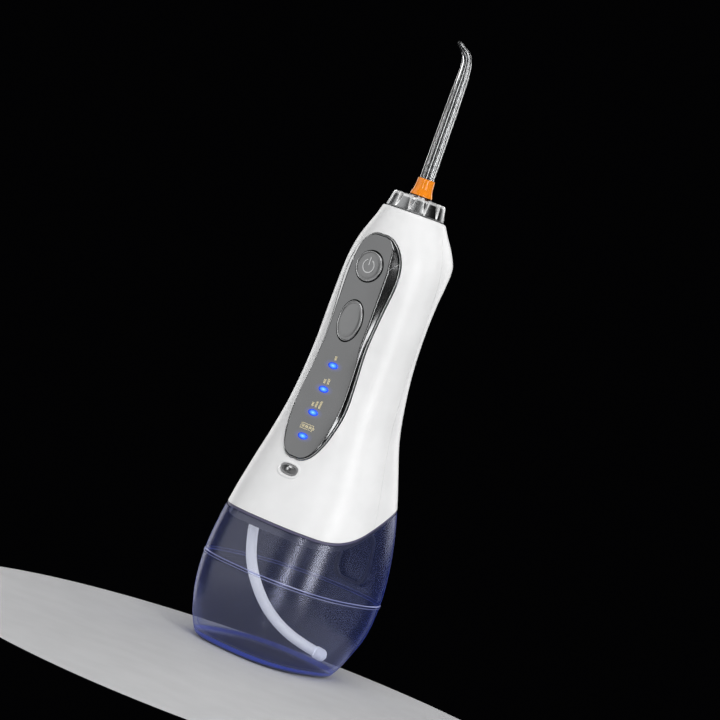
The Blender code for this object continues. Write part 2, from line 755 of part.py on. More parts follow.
def make_pump():
    centre = (DRIVE_X, ROD_Y)
    crown = CROWN_Z - CRANK + ROD_LENGTH + 2.0 + 2 * CRANK + GAP
    top = crown + 3.4
    groove = 5.0
    skirt = crown - 10.3
    inside = 5.4
    piston = [
        (0, top), (PISTON_R, top), (PISTON_R, top - 0.8), (groove, top - 0.8), (groove, top - 2.2),
        (PISTON_R, top - 2.2), (PISTON_R, skirt), (inside, skirt), (inside, crown), (0, crown),
    ]
    turned("piston", piston, "gear_cream", centre, 24)
    turned("piston_seal", round_section(5.95, top - 1.5, 0.6), "seal_dark", centre, 24)
    low, high = CYLINDER_LOW, CYLINDER_HIGH
    cylinder = [(CYLINDER_R, high), (CYLINDER_R, low), (BORE_R, low), (BORE_R, high)]
    turned("pump_cylinder", cylinder, "hose_white", centre, 24)
    head = rod("pump_head", CYLINDER_R, (*centre, HEAD_LOW), (*centre, HEAD_HIGH), "inner_grey", 24)
    inlet, outlet = DRIVE_X - VALVE_OFFSET, DRIVE_X + VALVE_OFFSET
    cut(head, rod("cut_inlet", 2.0, (inlet, ROD_Y, 170), (inlet, ROD_Y, 176.6), sides=16))
    cut(head, rod("cut_inlet_side", 1.5, (-5, ROD_Y, 175.0), (inlet + 0.5, ROD_Y, 175.0), sides=16))
    cut(head, rod("cut_outlet", 2.0, (outlet, ROD_Y, 170), (outlet, ROD_Y, 181), sides=16))
    for name, x, z in (("inlet_valve", inlet, 173.2), ("outlet_valve", outlet, 175.6)):
        bm = bmesh.new()
        bmesh.ops.create_uvsphere(bm, u_segments=12, v_segments=8, radius=1.6)
        bmesh.ops.translate(bm, vec=(x, ROD_Y, z), verts=bm.verts)
        from_bmesh(name, bm, "steel", (x, ROD_Y, z), smooth=True)
    left = DRIVE_X - CYLINDER_R - GAP
    intake = [
        (left, ROD_Y, 175.0), (-3, -3.2, 175.0), (-9, -5.6, 174.2), (-14, -8.0, 170.5), (-16.6, -8.8, 163),
        (-16.8, -8.8, 140), (-17.5, -9.2, 110), (-17.2, -12.0, 90), (-16.1, -15.7, 76), (*NIPPLE, 70.5),
    ]
    tube("intake_pipe", smooth_route(intake, 3), PIPE_R, "hose_white", resolution=1)
    outlet_route = [
        (outlet, ROD_Y, HEAD_HIGH + GAP), (outlet - 0.2, -2.5, 181.6), (10.2, -2.0, 184.0),
        (4.6, -0.9, 184.9), (0.9, -0.2, 186.4), (0, 0, SOCKET_LOW - GAP),
    ]
    tube("outlet_pipe", smooth_route(outlet_route, 3), PIPE_R, "hose_white", resolution=1)


# ---------------------------------------------------------------- neck, dial and jet tip


def make_socket_and_latch():
    inlet, seat = 1.3, SOCKET_LOW + 2
    socket = [
        (SOCKET_R, SOCKET_HIGH), (SOCKET_R, SOCKET_LOW), (inlet, SOCKET_LOW), (inlet, seat),
        (SOCKET_BORE, seat), (SOCKET_BORE, SOCKET_HIGH),
    ]
    turned("nozzle_socket", socket, "inner_grey", sides=24)
    half_width, half_height = RELEASE_HALF_WIDTH, RELEASE_HALF_HEIGHT
    button = oval_bar("tip_release", half_width, half_height, RELEASE_Z, RELEASE_BACK, 36, "white_shell")
    keep_inside(button, solid_body("keep_release", 185, 212, -0.7))
    middle = (LATCH_LOW + LATCH_HIGH) / 2
    plate = box("latch_plate", (-5.5, -5.5, LATCH_LOW), (5.5, 21.5, LATCH_HIGH), "steel")
    cut(plate, rod("cut_latch_front", 3.8, (0, 0, middle - 3), (0, 0, middle + 3), sides=20))
    cut(plate, rod("cut_latch_rear", 3.8, (0, 2.2, middle - 3), (0, 2.2, middle + 3), sides=20))
    turns, per_turn = 5, 8
    start, end = SOCKET_R + 0.6, RELEASE_BACK - 2.8
    coil = []
    for k in range(turns * per_turn + 1):
        turn = math.tau * k / per_turn
        y = start + (end - start) * k / (turns * per_turn)
        coil.append((SPRING_R * math.cos(turn), y, SPRING_Z + SPRING_R * math.sin(turn)))
    tube("release_spring", coil, 0.35, "steel", resolution=1)


def dial_ring(rib, groove, z):
    """A ring of the dial. Each of its ribs and each groove takes two points."""
    count = 4 * DIAL_RIBS
    ring = []
    for k in range(count):
        radius = rib if k % 4 < 2 else groove
        turn = math.tau * (k - 0.5) / count
        ring.append((radius * math.cos(turn), radius * math.sin(turn), z))
    return ring


def make_dial():
    profile = [
        (14.1, 14.1, DIAL_LOW),
        (14.0, 14.0, 218.6),
        (13.8, 12.6, 219.2),
        (12.7, 10.6, 224.2),
        (12.1, 10.2, 224.8),
        (5.4, 5.4, 224.9),
        (5.3, 5.3, HUB_TOP),
        (DIAL_BORE, DIAL_BORE, HUB_TOP),
        (DIAL_BORE, DIAL_BORE, SLEEVE_LOW),
        (SLEEVE_R, SLEEVE_R, SLEEVE_LOW),
        (SLEEVE_R, SLEEVE_R, DIAL_LOW),
    ]
    loft("grip_dial", [dial_ring(*level) for level in profile], "chrome", looped=True, smooth=False)


def tip_ring(point, direction, radius, sides=14):
    side = Vector((1, 0, 0))
    up = direction.cross(side).normalized()
    return [
        Vector(point) + radius * (side * math.cos(math.tau * k / sides) + up * math.sin(math.tau * k / sides))
        for k in range(sides)
    ]


def make_jet_tip():
    """A tapering clear tube that bends forwards at its end, with a shank that plugs into the socket."""
    stations = [
        # y, height, lean from upright in degrees, outside radius, bore radius
        (0, 195.0, 0, 2.7, 1.0),
        (0, 196.0, 0, SHANK_R, 1.0),
        (0, 196.3, 0, 2.4, 1.0),
        (0, 197.7, 0, 2.4, 1.0),
        (0, 198.0, 0, SHANK_R, 1.1),
        (0, 225.5, 0, SHANK_R, 1.6),
        (0, 226.5, 0, 3.5, 1.7),
        (0, 252.0, 0, 3.35, 1.6),
        (0, 276.0, 0, 3.1, 1.5),
        (-0.1, 284.0, 3, 2.85, 1.3),
        (-0.7, 289.4, 12, 2.55, 1.1),
        (-1.6, 291.9, 29, 2.3, 1.0),
        (-3.1, 293.7, 49, 2.05, 0.85),
        (-5.6, 295.2, 62, 1.7, 0.7),
        (-8.6, 296.5, 67, 1.3, 0.55),
        (-12.1, 297.9, 68, 0.9, 0.4),
    ]
    rings = []
    for inner in (False, True):
        for y, z, lean, outside, bore in reversed(stations) if inner else stations:
            direction = Vector((0, -math.sin(math.radians(lean)), math.cos(math.radians(lean))))
            rings.append(tip_ring((0, y, z), direction, bore if inner else outside))
    loft("jet_tip", rings, "clear_tip", looped=True)
    bore = 3.8
    ring = [
        (4.05, RING_HIGH), (4.2, 230.5), (5.35, RING_LOW + 0.6), (5.35, RING_LOW), (bore, RING_LOW),
        (bore, RING_HIGH),
    ]
    turned("colour_ring", ring, "tip_orange", sides=24)
    turned("tip_seal", round_section(2.9, 197.0, 0.38), "seal_dark", sides=16)


# ---------------------------------------------------------------- deck and tank


def make_deck():
    """The plate that closes the handle, with a skirt that plugs into the tank."""
    deck = solid_body("deck_plate", 54, 92, DECK_INSET, "deck_slate")
    keep_inside(deck, parting_slab("keep_deck", -DECK_SKIRT, 2.0))
    pocket = solid_body("cut_deck_pocket", 50, 90, DECK_INSET + 2.2)
    keep_inside(pocket, under_parting("keep_deck_pocket", -1.2))
    cut(deck, pocket)
    head = DECK_SCREW_HEAD + GAP
    for side in (-1, 1):
        x, y = side * SCREW_X, SCREW_Y
        cut(deck, rod(f"cut_deck_screw_{side}", SCREW_R + GAP, (x, y, 60), (x, y, 100), sides=12))
        cut(deck, rod(f"cut_screw_head_{side}", 3.4, (x, y, 60), (x, y, head), sides=12))
    cut(deck, rod("cut_deck_nipple", 2.4, (*NIPPLE, 50), (*NIPPLE, 80), sides=16))
    profile = [(2.1, 70.0), (2.1, 61.3), (0.9, 61.3), (0.9, 70.0)]
    turned("hose_nipple", profile, "hose_white", NIPPLE, 16)
    gasket = wall_body("tank_gasket", 56, 92, 0.35, DECK_INSET - GAP, "seal_dark")
    keep_inside(gasket, parting_slab("keep_gasket", -GASKET - GAP, -GAP))


def make_tank():
    seam_gap = GAP / 2
    low_levels = heights_between(0.0, TANK_SEAM - seam_gap)
    floor_levels = heights_between(TANK_FLOOR, TANK_SEAM - seam_gap)
    rings = [outline_at(z) for z in low_levels]
    rings += [outline_at(z, WALL) for z in reversed(floor_levels)]
    loft("tank_lower", rings, "tank_blue")

    upper = wall_body("tank_upper", TANK_SEAM + seam_gap, 92, 0.0, WALL, "tank_blue")
    cut(upper, over_parting("cut_over_tank", -GASKET - 2 * GAP))
    for side in (-1, 1):
        start, end = sorted((side * EAR_START, side * EAR_END))
        low = (start, HINGE_Y - 5, HINGE_Z - KNUCKLE_R)
        join(upper, box(f"add_ear_{side}", low, (end, HINGE_Y + KNUCKLE_R, HINGE_Z + KNUCKLE_R)))
    cut(upper, rounded_door("cut_door", 0.0, 30, FAR), hinge_bore("cut_ears"))


def hinge_bore(name):
    return rod(name, HINGE_PIN_R + 0.15, (-12, HINGE_Y, HINGE_Z), (12, HINGE_Y, HINGE_Z), sides=12)


def rounded_door(name, grow, start, end, finish=None):
    """The filling door's outline, with round corners, pushed along Y."""
    half, low, high = DOOR_HALF_WIDTH + grow, DOOR_LOW - grow, DOOR_HIGH + grow
    corner = 5.0
    outline = []
    for cx, cz, start_turn in (
        (half - corner, high - corner, 0), (corner - half, high - corner, 90),
        (corner - half, low + corner, 180), (half - corner, low + corner, 270),
    ):
        for k in range(5):
            turn = math.radians(start_turn + 90 * k / 4)
            outline.append((cx + corner * math.cos(turn), cz + corner * math.sin(turn)))
    return prism(name, outline, "Y", start, end, finish)


def make_door():
    """The door over the filling hole, its plug seal and its hinge pin."""
    door = rounded_door("fill_door", DOOR_LAP, 30, FAR, "tank_blue")
    keep_inside(door, wall_body("keep_door", 34, 76, -1.6, -GAP))
    low = (-KNUCKLE_HALF, HINGE_Y - KNUCKLE_R, HINGE_Z - 4.0)
    join(door, box("add_knuckle", low, (KNUCKLE_HALF, HINGE_Y + KNUCKLE_R, HINGE_Z + KNUCKLE_R)))
    cut(door, hinge_bore("cut_knuckle"))
    seal = rounded_door("fill_door_seal", -0.5, 30, FAR, "seal_dark")
    keep_inside(seal, wall_body("keep_door_seal", 34, 76, 0.0, 1.8))
    cut(seal, rounded_door("cut_door_seal", -2.0, 20, 70))
    half = EAR_END + 0.4
    rod("door_hinge_pin", HINGE_PIN_R, (-half, HINGE_Y, HINGE_Z), (half, HINGE_Y, HINGE_Z), "steel", 12)


def make_hose():
    tube("suction_hose", smooth_route(HOSE_ROUTE, 4), HOSE_R, "hose_white", resolution=2)
    tube("strainer", STRAINER_ROUTE, STRAINER_R, "hose_white", resolution=2)


clear_scene()
PARTS = new_collection("water_flosser")
CUTTERS = new_collection("cutters")
make_shells()
make_panel()
make_buttons_and_lamps()
make_board()
make_port()
make_chassis()
make_drive()
make_bracket()
make_crank()
make_pump()
make_socket_and_latch()
make_dial()
make_jet_tip()
make_deck()
make_tank()
make_door()
make_hose()
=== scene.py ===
"""The looks of the cordless water flosser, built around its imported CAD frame.

Lengths are in millimetres and are turned into metres where a mesh is made, as in the CAD script. The camera,
the floor and the lights are placed in metres. The body's outline follows the CAD's formula, only finer.
"""

import functools
import json
import math

import bmesh
import bpy
from mathutils import Matrix, Vector


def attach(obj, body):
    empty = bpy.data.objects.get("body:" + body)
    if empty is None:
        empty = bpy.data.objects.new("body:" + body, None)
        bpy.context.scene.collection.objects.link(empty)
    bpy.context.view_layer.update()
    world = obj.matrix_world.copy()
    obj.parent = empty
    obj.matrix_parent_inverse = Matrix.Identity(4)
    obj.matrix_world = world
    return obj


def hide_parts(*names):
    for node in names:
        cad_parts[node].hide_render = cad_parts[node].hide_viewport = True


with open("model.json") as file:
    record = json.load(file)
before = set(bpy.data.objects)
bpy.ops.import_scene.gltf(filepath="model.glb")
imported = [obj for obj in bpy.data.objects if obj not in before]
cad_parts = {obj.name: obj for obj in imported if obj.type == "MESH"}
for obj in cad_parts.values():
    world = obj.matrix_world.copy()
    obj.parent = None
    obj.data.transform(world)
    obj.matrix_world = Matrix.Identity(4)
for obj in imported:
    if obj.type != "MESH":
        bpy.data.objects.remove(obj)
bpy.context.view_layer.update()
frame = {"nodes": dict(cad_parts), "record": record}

MM = 0.001

# Body and tank sections from the nozzle axis: height: (depth in front, half width, depth behind, roundness).
SECTIONS = {
    0: (28.4, 28.2, 36.6, 2.7),
    3: (30.0, 30.6, 38.0, 2.68),
    10: (32.8, 33.6, 41.8, 2.64),
    24: (34.8, 37.8, 47.8, 2.55),
    40: (35.6, 38.8, 50.4, 2.47),
    54: (34.0, 38.0, 49.6, 2.45),
    70: (30.4, 36.3, 45.9, 2.42),
    85: (27.0, 33.8, 40.7, 2.38),
    100: (24.5, 30.4, 34.8, 2.33),
    115: (22.5, 27.4, 28.0, 2.29),
    130: (20.5, 25.9, 23.1, 2.25),
    148: (19.4, 25.0, 19.2, 2.2),
    166: (19.2, 24.9, 18.0, 2.18),
    181: (19.2, 24.5, 21.3, 2.15),
    190: (18.9, 24.0, 25.4, 2.12),
    199: (18.1, 22.2, 29.4, 2.08),
    206: (17.2, 19.4, 26.4, 2.05),
    212: (16.2, 16.8, 20.8, 2.0),
    217: (15.2, 15.2, 15.2, 2.0),
}
SIDES = 144
STEP = 1.6  # height of one row of faces on the body
WALL = 2.0
HANDLE_TOP = 217.0
SEAM_Y = 3.0
CLEAR = 60.0  # cutting shapes reach this far, past every side of the body
ABOVE = 260.0

# The line where the shells meet the tank: low in front, rising behind.
PART_FRONT = 63.0
PART_RISE = 22.0
PART_START_Y = -26.0
PART_LENGTH = 56.0
TANK_SEAM = 38.5
TANK_FLOOR = 3.0
TANK_CENTRE_Y = 7.0
WELD_HIGHLIGHT_OFFSET = 0.62  # the two painted highlight lines beside the welded seam lie this far above and below the seam
SEAM_GAP = 0.12
# The raised weld bead on either side of the seam: (distance from the seam, inset).
BEAD = ((0.9, 0.0), (0.5, -0.3), (SEAM_GAP, -0.3))

# Half width of the panel's opening at each height.
PANEL_WIDTHS = {
    93.3: 3.0, 94.8: 6.5, 98.0: 9.4, 104.0: 12.0, 113.0: 13.9, 122.0: 14.5, 136.0: 13.4, 151.0: 12.5,
    167.0: 13.6, 183.0: 15.0, 192.0: 13.9, 198.0: 11.0, 202.0: 6.9, 203.4: 3.0,
}
POWER_Z = 187.5
POWER_R = 7.3
MODE_Z = 161.0
MODE_HALF = (6.6, 9.8)
LAMP_HEIGHTS = (139.0, 127.4, 115.8, 104.2)
LAMP_PITCH = 11.6
LAMP_HALF = (2.8, 1.4)
PORT_Z = 87.7
PORT_HALF = (5.3, 2.7)
PORT_ROUNDNESS = 2.6
BUTTON_FRONT = -20.4
RELEASE_Z = 199.4
RELEASE_HALF = (6.5, 5.5)
RELEASE_PROUD = 0.65

HOSE_ROUTE = (
    (-16.0, -16.0, 61.0), (-15.3, -15.4, 53.0), (-13.0, -13.2, 42.0), (-9.0, -9.6, 32.5), (-3.5, -4.6, 23.8),
    (2.5, 0.9, 17.6), (8.5, 6.4, 13.6), (14.0, 11.4, 11.3), (18.2, 15.2, 10.0),
)
STRAINER_ROUTE = ((18.45, 15.45, 9.92), (20.5, 17.3, 9.4), (23.0, 19.5, 8.8))
HOSE_R = 2.5

# ---- camera, floor and lights

CAMERA_AZIMUTH = math.radians(35.5)
CAMERA_DISTANCE = 1.413
CAMERA_HEIGHT = 0.194
CAMERA_ROLL = math.radians(19.5)  # the photographed object leans this far to the right
AIM_HEIGHT = 0.145
AIM_SHIFT = -0.0013
LENS = 152.5
FLOOR_R = 0.15
FLOOR_AHEAD = 0.09  # the floor reaches further towards the camera than behind the object
FLOOR_GAP = 0.0003
# Big soft lights: name, azimuth, distance, height, width, tall, radiance, and whether glossy surfaces mirror
# them. None of them shows in a clear piece, which it would wash out.
LIGHTS = (
    ("soft_left", -42, 0.75, 0.22, 0.85, 0.8, 1.05, True),
    ("soft_right", 118, 0.8, 0.25, 0.6, 0.9, 1.7, False),
    ("soft_top", 30, 0.5, 1.08, 0.8, 0.6, 4.0, True),
    ("strip_narrow", 17, 1.0, 0.30, 0.09, 0.7, 9.0, True),
    ("strip_wide", 63, 1.0, 0.30, 0.32, 0.7, 5.5, True),
    ("rim_left", -112, 0.8, 0.25, 0.3, 0.9, 2.0, True),
    ("rim_right", 178, 0.8, 0.4, 0.4, 0.7, 1.6, True),
)
# Thin lights that show only as lines in the clear jet tip: azimuth, width, radiance.
CLEAR_LINES = (
    (-176, 0.09, 5.5), (-140, 0.05, 1.5), (-98, 0.08, 2.8), (0, 0.10, 1.8), (96, 0.08, 2.6), (152, 0.05, 3.4),
)
LINE_DISTANCE, LINE_HEIGHT, LINE_TALL = 1.0, 0.28, 0.6
LIGHT_AIM = 0.13
VIEW_RIGHT = Vector((math.cos(CAMERA_AZIMUTH), math.sin(CAMERA_AZIMUTH), 0))
VIEW_BACK = Vector((math.sin(CAMERA_AZIMUTH), -math.cos(CAMERA_AZIMUTH), 0))


def make_camera():
    data = bpy.data.cameras.new("camera")
    data.lens = LENS
    camera = bpy.data.objects.new("camera", data)
    bpy.context.scene.collection.objects.link(camera)
    bpy.context.scene.camera = camera
    camera.location = VIEW_BACK * CAMERA_DISTANCE + Vector((0, 0, CAMERA_HEIGHT))
    aim = VIEW_RIGHT * AIM_SHIFT + Vector((0, 0, AIM_HEIGHT))
    ahead = (aim - camera.location).normalized()
    right = ahead.cross(Vector((0, 0, 1))).normalized()
    up = right.cross(ahead)
    rolled_right = right * math.cos(CAMERA_ROLL) + up * math.sin(CAMERA_ROLL)
    rolled_up = up * math.cos(CAMERA_ROLL) - right * math.sin(CAMERA_ROLL)
    turn = Matrix((rolled_right, rolled_up, -ahead)).transposed()
    camera.rotation_mode = "QUATERNION"
    camera.rotation_quaternion = turn.to_quaternion()


def around(azimuth, distance, height):
    """A point seen from the object at an azimuth: 0 is straight in front of the buttons, 90 to the right."""
    turn = math.radians(azimuth)
    return Vector((distance * math.sin(turn), -distance * math.cos(turn), height))


def area_light(name, azimuth, distance, height, width, tall, radiance, mirrored, bent):
    """A soft rectangular light. Its power gives the radiance asked for, whatever its size.

    It shows in glossy surfaces only if it is mirrored, and in clear ones only if it is bent."""
    data = bpy.data.lights.new(name, "AREA")
    data.shape = "RECTANGLE"
    data.size, data.size_y = width, tall
    data.energy = radiance * width * tall * math.pi
    lamp = bpy.data.objects.new(name, data)
    lamp.location = around(azimuth, distance, height)
    toward = Vector((0, 0, LIGHT_AIM)) - lamp.location
    lamp.rotation_mode = "QUATERNION"
    lamp.rotation_quaternion = toward.to_track_quat("-Z", "Y")
    lamp.visible_camera = False
    lamp.visible_glossy = mirrored
    lamp.visible_transmission = bent
    bpy.context.scene.collection.objects.link(lamp)


def make_stage():
    bpy.context.scene.view_settings.view_transform = "Standard"
    world = bpy.data.worlds.new("studio")
    world.use_nodes = True
    world.node_tree.nodes["Background"].inputs["Color"].default_value = (0.0008, 0.0008, 0.001, 1)
    bpy.context.scene.world = world
    bm = bmesh.new()
    bmesh.ops.create_circle(bm, cap_ends=True, segments=160, radius=FLOOR_R)
    centre = VIEW_BACK * FLOOR_AHEAD
    bmesh.ops.translate(bm, vec=(centre.x, centre.y, -FLOOR_GAP), verts=bm.verts)
    mesh = bpy.data.meshes.new("floor")
    bm.to_mesh(mesh)
    bm.free()
    floor = add_piece("floor", mesh, finish("floor_pale"))
    for row in LIGHTS:
        area_light(*row, False)
    for azimuth, width, radiance in CLEAR_LINES:
        place_and_size = LINE_DISTANCE, LINE_HEIGHT, width, LINE_TALL
        area_light(f"line_{azimuth}", azimuth, *place_and_size, radiance, False, True)


# ---- finishes


def socket(made, name):
    return made.node_tree.nodes["Principled BSDF"].inputs[name]


def add_node(made, kind, **values):
    node = made.node_tree.nodes.new(kind)
    for key, value in values.items():
        if key in node.inputs:
            node.inputs[key].default_value = value
        else:
            setattr(node, key, value)
    return node


def link(made, out, into):
    made.node_tree.links.new(out, into)


def noise(made, scale, detail=3.0, stretch=(1, 1, 1)):
    """Noise over the object's own coordinates, so that it stays put when a piece moves."""
    where = add_node(made, "ShaderNodeTexCoord")
    mapping = add_node(made, "ShaderNodeMapping")
    mapping.inputs["Scale"].default_value = stretch
    grain = add_node(made, "ShaderNodeTexNoise", Scale=scale, Detail=detail)
    link(made, where.outputs["Object"], mapping.inputs["Vector"])
    link(made, mapping.outputs["Vector"], grain.inputs["Vector"])
    return grain.outputs["Fac"]


def vary_color(made, grain, dark, light):
    link(made, ramp(made, grain, ((0.35, dark), (0.65, light))), socket(made, "Base Color"))


def vary_roughness(made, grain, low, high):
    link(made, map_range(made, grain, 0.0, 1.0, low, high), socket(made, "Roughness"))


def add_bump(made, grain, strength, distance):
    bump = add_node(made, "ShaderNodeBump", Strength=strength, Distance=distance)
    link(made, grain, bump.inputs["Height"])
    link(made, bump.outputs["Normal"], socket(made, "Normal"))


def new_finish(name, color, roughness, metallic=0.0, **sockets):
    made = bpy.data.materials.new(name)
    made.use_nodes = True
    socket(made, "Base Color").default_value = (*color, 1)
    socket(made, "Roughness").default_value = roughness
    socket(made, "Metallic").default_value = metallic
    for key, value in sockets.items():
        socket(made, key.replace("_", " ")).default_value = value
    return made


def shade(color, factor):
    return tuple(min(1.0, c * factor) for c in color)


def moulded(name, color, roughness, grain_scale, depth=0.00004, spread=0.05, metallic=0.0, **sockets):
    """A moulded or metal surface: slight colour drift, uneven gloss and a fine grain."""
    made = new_finish(name, color, roughness, metallic, **sockets)
    vary_color(made, noise(made, 60.0, 2.0), shade(color, 0.97), shade(color, 1.02))
    vary_roughness(made, noise(made, 140.0), roughness - spread, roughness + spread)
    add_bump(made, noise(made, grain_scale, 2.0), 0.25, depth)
    return made


def brushed(name, color, roughness, stretch):
    """Bare metal with fine lines along one axis."""
    made = new_finish(name, color, roughness, 1.0)
    lines = noise(made, 500.0, 4.0, stretch)
    vary_color(made, lines, shade(color, 0.86), shade(color, 1.08))
    vary_roughness(made, lines, roughness - 0.06, roughness + 0.08)
    add_bump(made, lines, 0.15, 0.00003)
    return made


def clear(name, color, roughness, transmission, flow_depth=0.02, **sockets):
    """Clear plastic, with the faint flow marks of its mould."""
    made = new_finish(name, color, roughness, 0.0, Transmission_Weight=transmission, **sockets)
    flow = noise(made, 25.0, 2.0, (1, 1, 0.25))
    vary_roughness(made, flow, max(0.0, roughness - 0.01), roughness + 0.01)
    add_bump(made, flow, flow_depth, 0.0001)
    return made


def math_node(made, operation, first, second=None):
    node = add_node(made, "ShaderNodeMath", operation=operation)
    for socket_in, value in zip(node.inputs, (first, second)):
        if isinstance(value, (int, float)):
            socket_in.default_value = value
        elif value is not None:
            link(made, value, socket_in)
    return node.outputs["Value"]


def times(made, first, second):
    return math_node(made, "MULTIPLY", first, second)


def axes(made, kind):
    """The X, Y and Z of a point's place in its object ("Object") or of the way it faces ("Normal")."""
    where = add_node(made, "ShaderNodeTexCoord")
    split = add_node(made, "ShaderNodeSeparateXYZ")
    link(made, where.outputs[kind], split.inputs[0])
    return split.outputs


def ramp(made, factor, stops):
    """A colour for a factor: stops are (position, colour)."""
    node = add_node(made, "ShaderNodeValToRGB")
    elements = node.color_ramp.elements
    elements[0].position, elements[0].color = stops[0][0], (*stops[0][1], 1)
    elements[1].position, elements[1].color = stops[-1][0], (*stops[-1][1], 1)
    for position, color in stops[1:-1]:
        elements.new(position).color = (*color, 1)
    link(made, factor, node.inputs["Fac"])
    return node.outputs["Color"]


def blend_shaders(made, share, first, second):
    node = add_node(made, "ShaderNodeMixShader")
    link(made, share, node.inputs[0])
    link(made, first, node.inputs[1])
    link(made, second, node.inputs[2])
    return node.outputs[0]


def map_range(made, value, low, high, to_low=0.0, to_high=1.0):
    node = add_node(made, "ShaderNodeMapRange")
    for key, number in zip(("From Min", "From Max", "To Min", "To Max"), (low, high, to_low, to_high)):
        node.inputs[key].default_value = number
    link(made, value, node.inputs["Value"])
    return node.outputs["Result"]


def clear_wall(made, edge, tints, hazes, share, gloss, roughness, shine):
    """A clear wall: light passes it unbent, with some haze, and it has a gloss that grows towards its edges.

    edge is 0 face on and 1 edge on, and tints and hazes are colour stops over it. share is how much haze
    shows. gloss is (face on, more at the edge), roughness is a range for it and shine is its colour."""
    tree = made.node_tree
    glass = add_node(made, "ShaderNodeBsdfTransparent")
    link(made, ramp(made, edge, tints), glass.inputs["Color"])
    link(made, ramp(made, edge, hazes), socket(made, "Base Color"))
    wall = blend_shaders(made, share, glass.outputs[0], tree.nodes["Principled BSDF"].outputs[0])
    mirror = add_node(made, "ShaderNodeBsdfAnisotropic", Color=(*shine, 1))
    link(made, map_range(made, noise(made, 90.0, 2.0), 0.0, 1.0, *roughness), mirror.inputs["Roughness"])
    grazing = times(made, edge_on(made, 5.0), gloss[1])
    both = blend_shaders(made, math_node(made, "ADD", grazing, gloss[0]), wall, mirror.outputs[0])
    link(made, both, tree.nodes["Material Output"].inputs["Surface"])


def edge_on(made, power):
    """0 where the surface faces the viewer, rising to 1 where it turns away."""
    facing = add_node(made, "ShaderNodeLayerWeight", Blend=0.5).outputs["Facing"]
    return math_node(made, "POWER", facing, power)


def tank_wall(name):
    """Thin blue-tinted wall. The solid bottom slab is a full blue at its rim. Two pale blue lines beside the
    welded seam are painted highlights, standing for the light on the bead.
    """
    made = new_finish(name, (0.3, 0.32, 0.45), 0.3)
    height = axes(made, "Object")["Z"]
    level = map_range(made, math_node(made, "ABSOLUTE", axes(made, "Normal")["Z"]), 0.6, 0.9)
    slab = map_range(made, height, TANK_FLOOR * 0.8 * MM, TANK_FLOOR * 1.25 * MM, 1.0, 0.0)
    rim = times(made, slab, math_node(made, "SUBTRACT", 1.0, level))
    base = times(made, slab, level)
    from_seam = math_node(made, "ABSOLUTE", math_node(made, "SUBTRACT", height, TANK_SEAM * MM))
    nearest = math_node(made, "ABSOLUTE", math_node(made, "SUBTRACT", from_seam, WELD_HIGHLIGHT_OFFSET * MM))
    # Painted highlight: a mask for two thin lines just above and below the seam.
    weld_highlight = map_range(made, nearest, 0.12 * MM, 0.34 * MM, 1.0, 0.0)
    edge = math_node(made, "MAXIMUM", edge_on(made, 3.0), times(made, rim, 0.9))
    share = map_range(made, noise(made, 35.0, 3.0, (1, 1, 0.5)), 0.0, 1.0, 0.19, 0.24)
    for part, weight in ((edge, 0.3), (weld_highlight, 0.25), (rim, 0.35), (base, 0.6)):
        share = math_node(made, "ADD", share, times(made, part, weight))
    tints = ((0.0, (0.955, 0.96, 0.99)), (0.35, (0.8, 0.83, 0.96)), (1.0, (0.3, 0.38, 0.85)))
    hazes = ((0.0, (0.055, 0.068, 0.16)), (0.35, (0.04, 0.06, 0.24)), (1.0, (0.02, 0.055, 0.5)))
    clear_wall(made, edge, tints, hazes, share, (0.06, 0.1), (0.2, 0.27), (0.82, 0.84, 1.0))
    color = socket(made, "Base Color")
    # The painted highlight lines turn pale blue and hazier.
    with_weld_highlight = mix_color(made, weld_highlight, color.links[0].from_socket, (0.42, 0.46, 0.85))
    link(made, mix_color(made, base, with_weld_highlight, (0.02, 0.024, 0.06)), color)
    return made


def tank_inside(name):
    """The inner faces of the blue wall: a clear tint, a little deeper where the wall turns edge on."""
    made = new_finish(name, (0.3, 0.32, 0.45), 0.3)
    glass = add_node(made, "ShaderNodeBsdfTransparent")
    flow = map_range(made, noise(made, 25.0, 2.0, (1, 1, 0.4)), 0.3, 0.7, 0.0, 0.08)
    depth = math_node(made, "ADD", flow, edge_on(made, 3.0))
    tints = ((0.0, (0.97, 0.975, 0.99)), (0.4, (0.85, 0.87, 0.97)), (1.0, (0.5, 0.56, 0.9)))
    link(made, ramp(made, depth, tints), glass.inputs["Color"])
    link(made, glass.outputs[0], made.node_tree.nodes["Material Output"].inputs["Surface"])
    return made


def mix_color(made, share, first, color):
    """A linked colour that turns into a fixed one as share goes from 0 to 1."""
    node = add_node(made, "ShaderNodeMix", data_type="RGBA")
    link(made, share, node.inputs["Factor"])
    link(made, first, node.inputs[6])
    node.inputs[7].default_value = (*color, 1)
    return node.outputs[2]


def metal_with_painted_rib_light(name, face, line, roughness):
    """Plated plastic with painted light and shade: a near-white, less metallic painted highlight along the
    rib edges, and painted shade, near black, in the grooves.
    """
    made = moulded(name, face, roughness, 700.0, 0.00001, 0.04, metallic=1.0)
    plain = socket(made, "Base Color").links[0].from_socket
    edge = add_node(made, "ShaderNodeAttribute", attribute_name="rib_edge_highlight").outputs["Fac"]
    groove = add_node(made, "ShaderNodeAttribute", attribute_name="rib_groove_shade").outputs["Fac"]
    # Painted shade: the grooves turn near black.
    dark = mix_color(made, groove, plain, (0.02, 0.02, 0.022))
    # Painted highlight: the rib edges turn the near-white line colour.
    link(made, mix_color(made, edge, dark, line), socket(made, "Base Color"))
    # The painted highlight lines are less metallic, so they stay pale under any light.
    link(made, map_range(made, edge, 0.2, 1.0, 1.0, 0.35), socket(made, "Metallic"))
    return made


